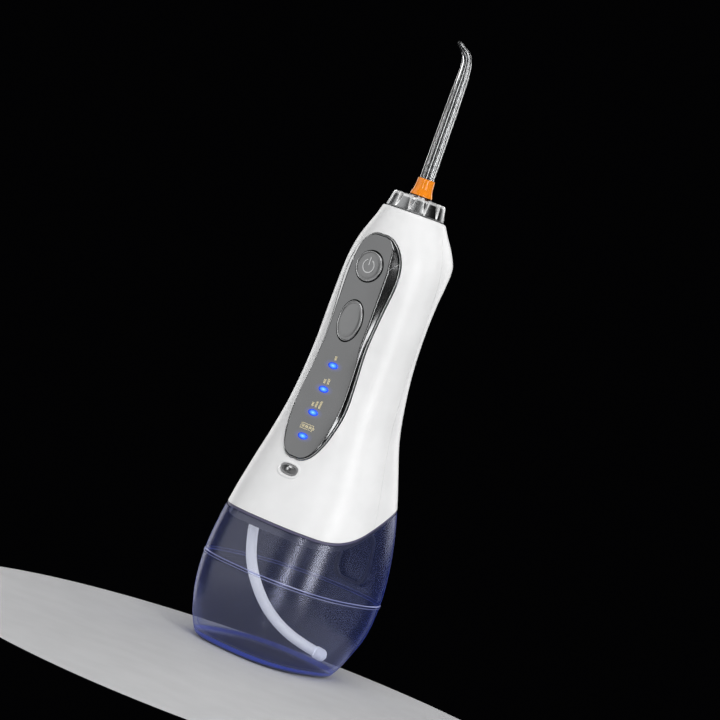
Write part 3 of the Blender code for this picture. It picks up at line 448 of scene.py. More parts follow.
def lamp_radius(made):
    """How far a point of the panel or a lens is from its lamp's centre: 1 is on the lens's edge."""
    place = axes(made, "Object")
    wide = math_node(made, "DIVIDE", place["X"], LAMP_HALF[0] * MM)
    low, high = (LAMP_HEIGHTS[-1] - LAMP_PITCH / 2) * MM, (LAMP_HEIGHTS[0] + LAMP_PITCH / 2) * MM
    inside = math_node(made, "MAXIMUM", math_node(made, "MINIMUM", place["Z"], high), low)
    turn = math_node(made, "DIVIDE", math_node(made, "SUBTRACT", inside, low), LAMP_PITCH * MM)
    local = math_node(made, "SUBTRACT", math_node(made, "FRACT", turn), 0.5)
    tall = times(made, local, LAMP_PITCH / LAMP_HALF[1])
    square = math_node(made, "ADD", times(made, wide, wide), times(made, tall, tall))
    return math_node(made, "SQRT", square)


LENS_GLOW = (
    (0.0, (0.42, 0.85, 1.0)), (0.3, (0.1, 0.45, 1.0)), (0.7, (0.015, 0.09, 0.85)), (1.0, (0.008, 0.04, 0.6)),
)
HALO_REACH = 4.0  # how far the glow on the panel may reach, in lens radii
HALO_GLOW = ((0.2, (0.006, 0.03, 0.5)), (0.32, (0.001, 0.006, 0.1)), (0.5, (0, 0, 0)))


def lamp_finish(name):
    """A lit lens, pale at its heart and deep blue at its rim."""
    made = new_finish(name, (0.02, 0.1, 0.6), 0.25)
    link(made, ramp(made, lamp_radius(made), LENS_GLOW), socket(made, "Emission Color"))
    socket(made, "Emission Strength").default_value = 1.0
    vary_roughness(made, noise(made, 500.0), 0.2, 0.3)
    return made


def panel_finish(name):
    """Satin grey metal with the blue glow of the lamps on it."""
    made = moulded(name, (0.185, 0.187, 0.19), 0.2, 1800.0, 0.00001, metallic=1.0)
    reach = times(made, lamp_radius(made), 1 / HALO_REACH)
    link(made, ramp(made, reach, HALO_GLOW), socket(made, "Emission Color"))
    socket(made, "Emission Strength").default_value = 1.0
    return made


# Moulded plastic: colour, roughness and scale of the grain.
PLASTICS = {
    "floor_pale": ((0.56, 0.56, 0.57), 0.6, 300.0),
    "icon_gold": ((0.62, 0.55, 0.36), 0.5, 1200.0),
    "deck_slate": ((0.05, 0.052, 0.075), 0.5, 600.0),
    "gasket_violet": ((0.085, 0.08, 0.15), 0.45, 900.0),
    "seal_dark": ((0.035, 0.035, 0.045), 0.55, 900.0),
    "inner_grey": ((0.4, 0.41, 0.43), 0.5, 600.0),
    "port_grey": ((0.27, 0.27, 0.275), 0.35, 900.0),
    "board_green": ((0.03, 0.17, 0.08), 0.4, 400.0, 0.0001),
    "cell_wrap": ((0.1, 0.25, 0.55), 0.35, 500.0),
    "gear_cream": ((0.82, 0.78, 0.66), 0.42, 700.0),
}
# Plated or painted metal: colour, roughness, scale and depth of the grain, and unevenness of the gloss.
METALS = {
    "button_grey": ((0.225, 0.227, 0.23), 0.3, 1800.0, 0.00002),
    "icon_line": ((0.6, 0.605, 0.61), 0.4, 1200.0),
    "chrome": ((0.6, 0.605, 0.61), 0.2, 700.0, 0.00001, 0.03),
    "bezel_chrome": ((0.42, 0.425, 0.43), 0.3, 700.0, 0.00001),
}
OTHERS = {
    "white_shell": lambda name: moulded(
        name, (0.86, 0.86, 0.865), 0.38, 1500.0, 0.00001, Coat_Weight=0.2, Coat_Roughness=0.3
    ),
    "panel_metal": panel_finish,
    # The dial's near-white line colour is a painted highlight along its rib edges.
    "dial_chrome": lambda name: metal_with_painted_rib_light(name, (0.34, 0.345, 0.35), (0.95, 0.95, 0.95), 0.27),
    "tank_blue": tank_wall,
    "tank_inside": tank_inside,
    "clear_tip": lambda name: clear(name, (0.97, 0.98, 0.99), 0.012, 0.975, 0.003, IOR=1.49),
    "tip_orange": lambda name: clear(name, (1.0, 0.29, 0.015), 0.12, 0.12, IOR=1.45),
    # The weak glow stands for the light that soft rubber scatters.
    "hose_white": lambda name: moulded(
        name, (0.93, 0.94, 0.95), 0.42, 800.0, Emission_Color=(0.8, 0.83, 0.9, 1), Emission_Strength=0.32
    ),
    "steel": lambda name: brushed(name, (0.58, 0.58, 0.6), 0.28, (1, 1, 0.08)),
    "lamp_blue": lamp_finish,
}


@functools.cache
def finish(name):
    """A finish by name, made the first time it is asked for."""
    if name in PLASTICS:
        return moulded(name, *PLASTICS[name])
    if name in METALS:
        return moulded(name, *METALS[name], metallic=1.0)
    return OTHERS[name](name)


# ---- mesh helpers


def sharpen(item, angle):
    """Shade a piece smooth, apart from its edges sharper than an angle."""
    for face in item.data.polygons:
        face.use_smooth = True
    item.data.set_sharp_from_angle(angle=math.radians(angle))


def add_piece(name, mesh, material, smooth_angle=35):
    """Put a mesh in the scene, with its faces turned outwards."""
    bm = bmesh.new()
    bm.from_mesh(mesh)
    bmesh.ops.recalc_face_normals(bm, faces=bm.faces)
    bm.to_mesh(mesh)
    bm.free()
    item = bpy.data.objects.new(name, mesh)
    sharpen(item, smooth_angle)
    bpy.context.scene.collection.objects.link(item)
    if material:
        mesh.materials.append(material)
    return item


def loft(name, rings, material, looped=False, smooth_angle=35):
    """A skin through rings of equal count, closed into a loop or capped at both ends."""
    count = len(rings[0])
    points = [Vector(p) * MM for ring in rings for p in ring]
    faces = []
    last = len(rings) if looped else len(rings) - 1
    for row in range(last):
        a, b = row * count, ((row + 1) % len(rings)) * count
        for k in range(count):
            n = (k + 1) % count
            faces.append((a + k, a + n, b + n, b + k))
    if not looped:
        faces.append(tuple(range(count)))
        faces.append(tuple(range((len(rings) - 1) * count, len(rings) * count)))
    mesh = bpy.data.meshes.new(name)
    mesh.from_pydata(points, [], faces)
    return add_piece(name, mesh, material, smooth_angle)


def directions(sides):
    """Even directions all the way round, as (cosine, sine)."""
    return [(math.cos(math.tau * k / sides), math.sin(math.tau * k / sides)) for k in range(sides)]


def circle_at(radius, z, sides):
    """A level ring about the nozzle axis."""
    return [(radius * c, radius * s, z) for c, s in directions(sides)]


def ring_about(centre, across, up, sides):
    """A ring about a point, from its two half axes."""
    return [centre + across * c + up * s for c, s in directions(sides)]


def turned(name, profile, material, sides=96):
    """A closed profile of (radius, height) points, turned about the nozzle axis."""
    rings = [circle_at(max(radius, 0.01), z, sides) for radius, z in profile]
    return loft(name, rings, material, True, 40)


def prism(name, outline, axis, start, end, material=None):
    """A flat outline pushed along X or Y. Its points are (y, z) for X and (x, z) for Y."""
    rings = [[(d, u, v) if axis == "X" else (u, d, v) for u, v in outline] for d in (start, end)]
    return loft(name, rings, material)


def block(name, low, high, material=None):
    outline = [(low[0], low[2]), (high[0], low[2]), (high[0], high[2]), (low[0], high[2])]
    return prism(name, outline, "Y", low[1], high[1], material)


def oval(half_width, half_height, z, roundness=2.0, sides=64):
    """An oval as (x, z) points. A roundness of 2 makes an ellipse, and more makes it squarer."""
    points = []
    for c, s in directions(sides):
        reach = (abs(c) ** roundness + abs(s) ** roundness) ** (-1 / roundness)
        points.append((half_width * reach * c, z + half_height * reach * s))
    return points


def boolean(item, others, operation="DIFFERENCE"):
    """Cut, join or keep with other objects, which are used up."""
    for other in others:
        step = item.modifiers.new(operation, "BOOLEAN")
        step.operation, step.solver, step.object = operation, "EXACT", other
    depsgraph = bpy.context.evaluated_depsgraph_get()
    made = bpy.data.meshes.new_from_object(item.evaluated_get(depsgraph))
    item.modifiers.clear()
    item.data = made
    for other in others:
        bpy.data.objects.remove(other, do_unlink=True)
    return item


def tube(name, route, radius, material, sides):
    """A tube along a route, one ring to a point. The radius may vary with the share of the route gone."""
    points = [Vector(p) for p in route]
    rings = []
    side = Vector((1, 0, 0))
    for k, here in enumerate(points):
        ahead = (points[min(k + 1, len(points) - 1)] - points[max(k - 1, 0)]).normalized()
        side = (side - ahead * side.dot(ahead)).normalized()
        size = radius(k / (len(points) - 1)) if callable(radius) else radius
        rings.append(ring_about(here, side * size, ahead.cross(side) * size, sides))
    return loft(name, rings, material, smooth_angle=50)


def curve_through(points, steps):
    """A smooth curve from the second point to the last but one, without its last point."""
    out = []
    for a, b, c, d in zip(points, points[1:], points[2:], points[3:]):
        for k in range(steps):
            t = k / steps
            out.append(
                0.5 * (2 * b + (c - a) * t + (2 * a - 5 * b + 4 * c - d) * t * t
                       + (3 * b - a - 3 * c + d) * t ** 3)
            )
    return out


def smooth_route(points, steps):
    points = [Vector(p) for p in points]
    ends = [points[0] * 2 - points[1]] + points + [points[-1] * 2 - points[-2]]
    return curve_through(ends, steps) + [points[-1]]


# ---- the body's own surfaces


def section(z):
    """The body's section at a height, on a smooth curve through SECTIONS."""
    keys = list(SECTIONS)
    z = min(max(z, keys[0]), keys[-1])
    i = max(k for k in range(len(keys) - 1) if keys[k] <= z)
    span = keys[i + 1] - keys[i]
    t = (z - keys[i]) / span

    def slope(k, n):
        a, b = max(k - 1, 0), min(k + 1, len(keys) - 1)
        return (SECTIONS[keys[b]][n] - SECTIONS[keys[a]][n]) / (keys[b] - keys[a])

    def value(n):
        p0, p1 = SECTIONS[keys[i]][n], SECTIONS[keys[i + 1]][n]
        m0, m1 = slope(i, n) * span, slope(i + 1, n) * span
        return (
            (2 * t**3 - 3 * t**2 + 1) * p0 + (t**3 - 2 * t**2 + t) * m0
            + (3 * t**2 - 2 * t**3) * p1 + (t**3 - t**2) * m1
        )

    return tuple(value(n) for n in range(4))


def outline_at(z, inset=0.0):
    """The body's outline at a height, moved inwards by inset."""
    front, half, rear, power = section(z)
    points = []
    for c, s in directions(SIDES):
        a, b = half - inset, (rear if s > 0 else front) - inset
        reach = (abs(c / a) ** power + abs(s / b) ** power) ** (-1 / power)
        points.append((reach * c, reach * s, z))
    return points


def front_y(x, z):
    front, half, _, power = section(z)
    return -front * (1 - abs(x / half) ** power) ** (1 / power)


def back_y(x, z):
    _, half, rear, power = section(z)
    return rear * (1 - abs(x / half) ** power) ** (1 / power)


def rows(low, high, step=STEP):
    count = max(1, round((high - low) / step))
    return [low + (high - low) * k / count for k in range(count + 1)]


def wall_body(name, low, high, outer, inner, material=None):
    """A band of the body's wall between two insets."""
    levels = rows(low, high)
    rings = [outline_at(z, outer) for z in levels]
    rings += [outline_at(z, inner) for z in reversed(levels)]
    return loft(name, rings, material, looped=True)


def smooth_step(t):
    t = min(max(t, 0.0), 1.0)
    return t * t * (3 - 2 * t)


def parting_line(offset):
    """The line between handle and tank as (y, z) points, from front to back."""
    steps = 48
    ys = [-CLEAR] + [PART_START_Y + PART_LENGTH * k / steps for k in range(steps + 1)] + [CLEAR]
    return [(y, PART_FRONT + PART_RISE * smooth_step((y - PART_START_Y) / PART_LENGTH) + offset) for y in ys]


def parting_prism(name, outline):
    return prism(name, outline, "X", -CLEAR, CLEAR)


def panel_side(grow):
    """The right half of the panel's outline, smooth, moved outwards by grow."""
    levels = list(PANEL_WIDTHS)
    half = [Vector((PANEL_WIDTHS[z], z)) for z in levels]
    half = [Vector((0, levels[0]))] + half + [Vector((0, levels[-1]))]
    ends = [Vector((-half[1].x, half[1].y))] + half + [Vector((-half[-2].x, half[-2].y))]
    fine = curve_through(ends, 6) + [half[-1]]
    closed = [Vector((-fine[1].x, fine[1].y))] + fine + [Vector((-fine[-2].x, fine[-2].y))]
    moved = []
    for before, here, after in zip(closed, fine, closed[2:]):
        along = (after - before).normalized()
        moved.append((here.x + grow * along.y, here.y - grow * along.x))
    return moved


def panel_outline(grow):
    right = panel_side(grow)
    return right + [(-x, z) for x, z in reversed(right[1:-1])]


# ---- white shells


def make_shells():
    low, roof, hole = PART_FRONT - 3, HANDLE_TOP - WALL - 0.5, 9.2
    rings = [outline_at(z) for z in rows(low, HANDLE_TOP - 0.8)]
    for drop, scale in ((0.25, 0.985), (0.0, 0.955)):
        rings.append([(x * scale, y * scale, z) for x, y, z in outline_at(HANDLE_TOP - drop)])
    rings += [circle_at(hole, HANDLE_TOP, SIDES), circle_at(hole, roof, SIDES)]
    rings += [outline_at(z, WALL) for z in reversed(rows(low, roof, 8.0))]
    gap = 0.06
    front_cut = block("cut_behind", (-CLEAR, SEAM_Y - gap, 0), (CLEAR, 80, ABOVE))
    rear_cut = block("cut_ahead", (-CLEAR, -80, 0), (CLEAR, SEAM_Y + gap, ABOVE))
    window = prism("cut_window", panel_outline(0.2), "Y", -45, -6)
    port = prism("cut_port", oval(*PORT_HALF, PORT_Z, PORT_ROUNDNESS), "Y", -45, -15)
    release = prism("cut_release", oval(*(half + 0.25 for half in RELEASE_HALF), RELEASE_Z), "Y", 15, 40)
    for node, cuts in (("front_shell", [front_cut, window, port]), ("rear_shell", [rear_cut, release])):
        shell = loft(f"{node}_fine", rings, finish("white_shell"), looped=True)
        under = parting_prism("cut_under", [(CLEAR, -10.0), (-CLEAR, -10.0)] + parting_line(0.0))
        boolean(shell, [under] + cuts)
        sharpen(shell, 32)
        stand_in(shell, "handle", "white_shell", node)


def stand_in(item, body, slot, *nodes):
    """A finished piece rides on its body and replaces CAD nodes. Its slot is not used."""
    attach(item, body)
    if nodes:
        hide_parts(*nodes)
    return item


# ---- control panel

PANEL_PROUD = 0.9
PANEL_INSET = 1.0  # the panel's face ends this far inside its opening, where the bezel covers it
CREASE = ((10.3, 187.7), (13.0, 192.7))  # a fine raised line across the side slope, in light metal that paints the highlight on its edge
FLAT_HALF = 10.7
FLAT_SHARE = 0.965  # how much of the lower panel is flat
CORNER = 0.28  # how softly the flat middle turns into the side slope


def panel_y(x, z, half_width):
    """The panel's face: a nearly flat middle with straight side slopes.

    The side slopes run out below the buttons, where the flat middle reaches nearly to the edge. lower rises
    to 1 there, hollow is greatest at the third lamp, and upper is the height above the power button."""
    x = abs(x)
    middle = front_y(0, z) - PANEL_PROUD
    edge = front_y(min(half_width, 15.0), z) - 0.7 - 0.5 * smooth_step((z - 190) / 6)
    lower = smooth_step((152 - z) / 10)
    hollow = 0.03 * smooth_step(1 - abs(z - 115) / 11)
    upper = max(0.0, z - 187)
    corner = CORNER * (1 - 0.7 * lower)
    widest = min(FLAT_HALF - 0.15 * upper, half_width * FLAT_SHARE)
    flat = widest * (1 - lower) + half_width * (FLAT_SHARE - hollow) * lower
    crown = (0.55 + 0.5 * lower) * (1 - smooth_step(upper / 6)) * min(1.0, flat / FLAT_HALF) ** 2
    over = math.log1p(math.exp((x - flat) / corner))
    most = math.log1p(math.exp((half_width - flat) / corner))
    at_edge = middle + crown * (half_width / flat) ** 2
    return middle + crown * (x / flat) ** 2 + (edge - at_edge) * over / most


def make_panel():
    levels = rows(PANEL_EDGE[0][1] + 0.02, PANEL_EDGE[-1][1] - 0.02, 0.5)
    columns = 120
    rings = []
    for z in levels:
        half_width = max(0.3, side_width(z))
        front, back = [], []
        for k in range(columns + 1):
            u = -1 + 2 * k / columns
            x = half_width * math.sin(u * math.pi / 2)
            y = panel_y(x, z, half_width)
            behind = front_y(0, z) + 1.4 if abs(x) < 4 else max(y + 1.2, front_y(x, z) + 1.0)
            front.append((x, y, z))
            back.append((x, behind, z))
        rings.append(front + back[::-1])
    panel = loft("control_panel_fine", rings, finish("panel_metal"))
    openings = [("cut_power", POWER_R, POWER_R, POWER_Z, 0.45), ("cut_mode", *MODE_HALF, MODE_Z, 0.45)]
    openings += [(f"cut_lamp_{k}", *LAMP_HALF, z, 0.1) for k, z in enumerate(LAMP_HEIGHTS)]
    boolean(panel, [
        prism(name, oval(wide + gap, tall + gap, z), "Y", -32, -8) for name, wide, tall, z, gap in openings
    ])
    sharpen(panel, 24)
    stand_in(panel, "handle", "panel_metal", "control_panel")

    route = [(x, front_y(x, z) - 0.15, z) for x, z in panel_outline(-0.42)]
    bezel = ring_tube("panel_bezel_fine", route, (0.27, 0.55), finish("bezel_chrome"))
    stand_in(bezel, "handle", "chrome", "panel_bezel")
    # Painted highlight: the crease lines are light metal, much brighter than the panel, standing for the
    # light on the slope's edge.
    for side, word in ((-1, "left"), (1, "right")):
        line = []
        for k in range(9):
            x, z = (a + (b - a) * k / 8 for a, b in zip(*CREASE))
            line.append((side * x, panel_y(x, z, side_width(z)) - 0.02, z))
        crease = tube(f"panel_crease_{word}", line, 0.11, finish("icon_line"), 10)
        stand_in(crease, "handle", "panel_metal")


PANEL_EDGE = panel_side(-PANEL_INSET)


def side_width(z):
    """The half width of the panel's face at a height."""
    for (xa, za), (xb, zb) in zip(PANEL_EDGE, PANEL_EDGE[1:]):
        if za <= z <= zb:
            return xa + (xb - xa) * (z - za) / max(zb - za, 1e-6)
    return 0.0


def ring_tube(name, route, half_sizes, material):
    """A closed rail of oval section along a closed route on the front, flat against it."""
    wide, deep = half_sizes
    rings = []
    count = len(route)
    for k in range(count):
        before, here, after = (Vector(route[(k + d) % count]) for d in (-1, 0, 1))
        ahead = (after - before).normalized()
        out = Vector((0, -1, 0))
        out = (out - ahead * out.dot(ahead)).normalized()
        rings.append(ring_about(here, ahead.cross(out) * wide, out * deep, 10))
    return loft(name, rings, material, looped=True, smooth_angle=60)


# ---- buttons, lamps and icons


def domed_button(name, half_width, half_height, z, front, depth, material):
    """An oval button with a rounded rim, a shallow groove inside it and a gently crowned face."""
    profile = [
        # share of the half size, depth behind the front
        (1.0, depth), (1.0, 0.9), (0.985, 0.45), (0.955, 0.16), (0.91, 0.03), (0.87, 0.02),
        (0.845, 0.14), (0.82, 0.15), (0.79, 0.05), (0.6, 0.0), (0.3, -0.03), (0.001, -0.04),
    ]
    rings = []
    for share, back in profile:
        rings.append([(x, front + back, v) for x, v in oval(half_width * share, half_height * share, z)])
    return loft(name, rings, material, smooth_angle=50)


def power_icon(front):
    """A broken ring with a bar in its gap, raised from the button."""
    radius, thick, gap = 3.1, 0.26, math.radians(24)
    steps = 40
    start, end = math.pi / 2 + gap, math.pi / 2 + math.tau - gap
    turns = [start + (end - start) * k / steps for k in range(steps + 1)]
    outline = []
    for reach, way in ((radius + thick, turns), (radius - thick, turns[::-1])):
        outline += [(reach * math.cos(turn), POWER_Z + reach * math.sin(turn)) for turn in way]
    low, high = POWER_Z + 0.4, POWER_Z + 4.3
    bar = [(-thick, low), (thick, low), (thick, high), (-thick, high)]
    return [
        prism(f"power_icon_{k}", points, "Y", front - 0.2, front + 0.15, finish("icon_line"))
        for k, points in enumerate((outline, bar))
    ]


def button_rim_highlight(name, half_width, half_height, z, body):
    """A thin raised ring just inside a button's edge. Its light metal paints the highlight on the button's
    rim.
    """
    inset, thick = 0.42, 0.17
    ring = [(x, BUTTON_FRONT - 0.08, v) for x, v in oval(half_width - inset, half_height - inset, z)]
    rim = ring_tube(name, ring, (thick, thick), finish("icon_line"))
    stand_in(rim, body, "button_grey")


def make_buttons():
    face = BUTTON_FRONT - 0.1
    shapes = {"power_button": (POWER_R, POWER_R, POWER_Z), "mode_button": (*MODE_HALF, MODE_Z)}
    for body, shape in shapes.items():
        button = domed_button(f"{body}_fine", *shape, face, 2.6, finish("button_grey"))
        stand_in(button, body, "button_grey", body)
        if body == "power_button":
            for piece in power_icon(face):
                stand_in(piece, body, "button_grey")
    for body, shape in shapes.items():
        button_rim_highlight(body.replace("button", "rim"), *shape, body)


def strip(name, low_x, high_x, low_z, high_z):
    """A thin printed patch that follows the panel's middle."""
    lift, sunk = 0.06, 0.03
    rings = []
    columns = max(1, round((high_x - low_x) / 0.5))
    for k in range(columns + 1):
        x = low_x + (high_x - low_x) * k / columns
        low, high = (panel_y(x, z, side_width(z)) for z in (low_z, high_z))
        under = [(x, low + sunk, low_z), (x, high + sunk, high_z)]
        rings.append(under + [(x, high - lift, high_z), (x, low - lift, low_z)])
    return loft(name, rings, finish("icon_gold"))


def make_lamps():
    for k, z in enumerate(LAMP_HEIGHTS, 1):
        face = panel_y(0, z, side_width(z))
        lens = domed_button(f"lamp_lens_fine_{k}", *LAMP_HALF, z, face - 0.05, 4.0, finish("lamp_blue"))
        stand_in(lens, "handle", "lamp_blue", f"lamp_lens_{k}")
    marks = []
    for count, z in zip((1, 2, 3), LAMP_HEIGHTS):
        for n in range(count):
            x = (n - (count - 1) / 2) * 2.1
            marks.append((f"level_mark_{count}_{n + 1}", x - 0.6, x + 0.6, z + 2.6, z + 4.6 + 0.8 * n))
    # A battery: four sides, a terminal and three bars, about its centre.
    z = LAMP_HEIGHTS[3] + 4.6
    outer, inner, tall = 3.7, 3.7 - 0.35, 0.6
    battery = (
        (-outer, outer, 1.05, 1.4), (-outer, outer, -1.4, -1.05), (-outer, -inner, -1.05, 1.05),
        (inner, outer, -1.05, 1.05), (outer, outer + tall, -tall, tall),
        (-2.9, -1.2, -tall, tall), (-0.85, 0.85, -tall, tall), (1.2, 2.9, -tall, tall),
    )
    marks += [(f"battery_mark_{n}", x0, x1, z + z0, z + z1) for n, (x0, x1, z0, z1) in enumerate(battery, 1)]
    for mark in marks:
        stand_in(strip(*mark), "handle", "gear_cream")


# ---- charging port


def make_port():
    """A soft raised rim round an oval cup, with a pin at one side and a key block at the top."""
    face = front_y(0, PORT_Z)
    rings = []
    # The rim's section: how far outside the opening, and how far behind the shell's face.
    section_points = (
        (0.0, 0.6), (0.05, -0.05), (0.3, -0.28), (0.8, -0.3), (1.3, -0.12), (1.7, 0.25), (1.2, 0.7),
    )
    for grow, back in section_points:
        ring = oval(PORT_HALF[0] + grow - 0.1, PORT_HALF[1] + grow - 0.1, PORT_Z, PORT_ROUNDNESS)
        rings.append([(x, front_y(x, z) + back, z) for x, z in ring])
    rim = loft("port_rim", rings, finish("white_shell"), looped=True, smooth_angle=60)
    stand_in(rim, "handle", "white_shell")
    inner = prism("cut_cup", oval(4.4, 1.8, PORT_Z, PORT_ROUNDNESS), "Y", face - 4, face + 3.2)
    outer = oval(5.05, 2.45, PORT_Z, PORT_ROUNDNESS)
    cup = prism("charge_port_fine", outer, "Y", face + 0.35, face + 8.0, finish("port_grey"))
    boolean(cup, [inner])
    sharpen(cup, 35)
    stand_in(cup, "handle", "inner_grey", "charge_port")
    profile = [(0.95, 0), (0.95, 3.4), (0.75, 3.8), (0.001, 3.9), (0.001, 0)]
    pin = turned("charge_pin_fine", profile, finish("chrome"), sides=32)
    moved = Matrix.Translation(Vector((-2.2, face + 5.7, PORT_Z)) * MM)
    pin.data.transform(moved @ Matrix.Rotation(math.pi / 2, 4, "X"))
    stand_in(pin, "handle", "steel", "charge_pin")
    low, high = (-0.8, face + 0.5, PORT_Z + 0.9), (0.8, face + 5.8, PORT_Z + 2.0)
    key = block("port_key", low, high, finish("white_shell"))
    stand_in(key, "handle", "white_shell")


# ---- dial and jet tip

DIAL_RIBS = 12
DIAL_PHASE = math.radians(7)
DIAL_LOW = 217.5
DIAL_RISE = 6.7


def dial_radius(turn, share):
    """The dial's radius at an angle and a share of its height: V grooves, widest at the top."""
    outer = 14.1 - 1.5 * share
    into = smooth_step(rib_offset(turn, share) / math.radians(2.6))
    return outer - into * (0.3 + 2.2 * share) * min(share / 0.12, 1.0)


def rib_offset(turn, share):
    """The angle from a point to the edge of its rib: under 0 on the rib, over 0 in a groove."""
    pitch = math.tau / DIAL_RIBS
    off = abs((turn - DIAL_PHASE + pitch / 2) % pitch - pitch / 2)
    return off - pitch * (0.45 - 0.17 * share)


def mark_ribs(mesh):
    """Store where the dial's finish paints a highlight along each rib edge and shade in each groove."""
    edge = mesh.attributes.new("rib_edge_highlight", "FLOAT", "POINT")
    groove = mesh.attributes.new("rib_groove_shade", "FLOAT", "POINT")
    for k, vertex in enumerate(mesh.vertices):
        x, y, z = vertex.co / MM
        share = (z - DIAL_LOW) / DIAL_RISE
        radius = math.hypot(x, y)
        if radius < 9.0 or share < 0.0:
            continue
        off = rib_offset(math.atan2(y, x), min(share, 1.0))
        # Painted highlight: a thin line just past each rib's edge.
        line = math.exp(-((off - 0.012) / 0.026) ** 2) * min(share / 0.15, 1.0)
        # The whole top rim gets the painted highlight too.
        if share > 0.9 and radius > 10.0:
            line = max(line, 0.8)
        edge.data[k].value = line
        # Painted shade in the grooves.
        groove.data[k].value = smooth_step(off / 0.05) * min(share / 0.15, 1.0) * 0.85


def make_dial():
    sides = 720

    def ring(share, z, trim=0.0):
        points = []
        for k in range(sides):
            turn = math.tau * k / sides
            radius = dial_radius(turn, share) - trim
            points.append((radius * math.cos(turn), radius * math.sin(turn), z))
        return points

    rings = [ring(0.0, 217.4, 0.25), ring(0.0, 217.65)]
    rings += [ring(k / 12, DIAL_LOW + DIAL_RISE * (k / 12)) for k in range(1, 12)]
    rings += [ring(0.95, 224.3, 0.08), ring(1.0, 224.65, 0.35), ring(1.0, 224.8, 0.8)]
    rings += [circle_at(r, z, sides) for r, z in (
        (8.6, 224.75), (8.3, 224.5), (5.9, 224.5), (5.5, 224.6), (5.4, 225.3), (5.2, 225.4), (3.7, 225.4),
        (3.6, 206.4), (8.6, 206.4), (8.6, 217.2),
    )]
    dial = loft("grip_dial_fine", rings, finish("dial_chrome"), looped=True, smooth_angle=28)
    mark_ribs(dial.data)
    stand_in(dial, "dial", "chrome", "grip_dial")


# The jet tip from its foot to its end: y, z, lean from upright in degrees, outer radius, bore radius.
TIP_STATIONS = (
    (0, 195.0, 0, 2.7, 1.0), (0, 196.0, 0, 3.0, 1.0), (0, 196.3, 0, 2.4, 1.0), (0, 197.7, 0, 2.4, 1.0),
    (0, 198.0, 0, 3.0, 1.1), (0, 225.5, 0, 3.0, 1.6), (0, 226.5, 0, 3.5, 1.7), (0, 240.0, 0, 3.43, 1.65),
    (0, 252.0, 0, 3.35, 1.6), (0, 264.0, 0, 3.25, 1.55), (0, 276.0, 0, 3.1, 1.5),
    (-0.1, 284.0, 3, 2.85, 1.3), (-0.3, 287.0, 6, 2.7, 1.2), (-0.7, 289.4, 12, 2.55, 1.1),
    (-1.1, 290.8, 20, 2.43, 1.05), (-1.6, 291.9, 29, 2.3, 1.0), (-2.3, 292.9, 39, 2.18, 0.93),
    (-3.1, 293.7, 49, 2.05, 0.85), (-4.3, 294.5, 57, 1.88, 0.78), (-5.6, 295.2, 62, 1.7, 0.7),
    (-8.6, 296.5, 67, 1.3, 0.55), (-12.1, 297.9, 68, 0.9, 0.4),
)


def make_tip():
    across = Vector((1, 0, 0))
    rings = []
    for inner in (False, True):
        for y, z, lean, outside, bore in reversed(TIP_STATIONS) if inner else TIP_STATIONS:
            lean = math.radians(lean)
            up = Vector((0, math.cos(lean), math.sin(lean)))
            radius = bore if inner else outside
            rings.append(ring_about(Vector((0, y, z)), across * radius, up * radius, 64))
    tip = loft("jet_tip_fine", rings, finish("clear_tip"), looped=True, smooth_angle=40)
    stand_in(tip, "tip", "clear_tip", "jet_tip")
    profile = [
        (3.8, 225.75), (5.2, 225.75), (5.35, 225.9), (5.3, 226.4), (4.95, 227.4), (4.55, 228.7), (4.3, 230.2),
        (4.15, 232.0), (4.08, 233.6), (3.98, 233.95), (3.8, 234.0),
    ]
    ring = turned("colour_ring_fine", profile, finish("tip_orange"))
    stand_in(ring, "tip", "tip_orange", "colour_ring")


def make_tip_release():
    """The oval button on the hump: its face follows the shell, with a rolled rim and three grip ridges."""
    def ring(share):
        return oval(RELEASE_HALF[0] * share, RELEASE_HALF[1] * share, RELEASE_Z, sides=96)

    rings = [[(x, 25.4, z) for x, z in ring(1.0)]]
    for share, sunk in ((1.0, 0.5), (0.985, 0.22), (0.95, 0.07), (0.9, 0.0)):
        rings.append([(x, back_y(x, z) + RELEASE_PROUD - sunk, z) for x, z in ring(share)])
    for step in range(1, 24):
        inside = ring(0.9 * (1 - step / 24))
        rings.append([(x, back_y(x, z) + RELEASE_PROUD - ridge_depth(z - RELEASE_Z), z) for x, z in inside])
    button = loft("tip_release_fine", rings, finish("white_shell"), smooth_angle=40)
    stand_in(button, "tip_release", "white_shell", "tip_release")


def ridge_depth(height):
    """Two shallow grooves that leave three ridges, faded out towards the button's rim."""
    near = min(abs(height - 1.3), abs(height + 1.3))
    return 0.25 * max(0.0, 1 - near / 0.55)


# ---- tank, filling door and hose


def make_gasket():
    gasket = wall_body("tank_gasket_fine", 58, 90, 0.25, 2.1, finish("gasket_violet"))
    keep = parting_prism("keep_gasket", parting_line(-1.3) + parting_line(-0.25)[::-1])
    boolean(gasket, [keep], "INTERSECT")
    sharpen(gasket, 32)
    stand_in(gasket, "tank", "seal_dark", "tank_gasket")


def line_inside(item):
    """Give the faces that look inwards, and the cut edges, the finish of the wall's inside."""
    item.data.materials.append(finish("tank_inside"))
    for face in item.data.polygons:
        out = Vector((face.center.x, face.center.y - TANK_CENTRE_Y * MM, 0)).normalized()
        faces_out = face.normal.dot(out) > 0.3 or face.normal.z < -0.8
        face.material_index = 0 if faces_out else 1


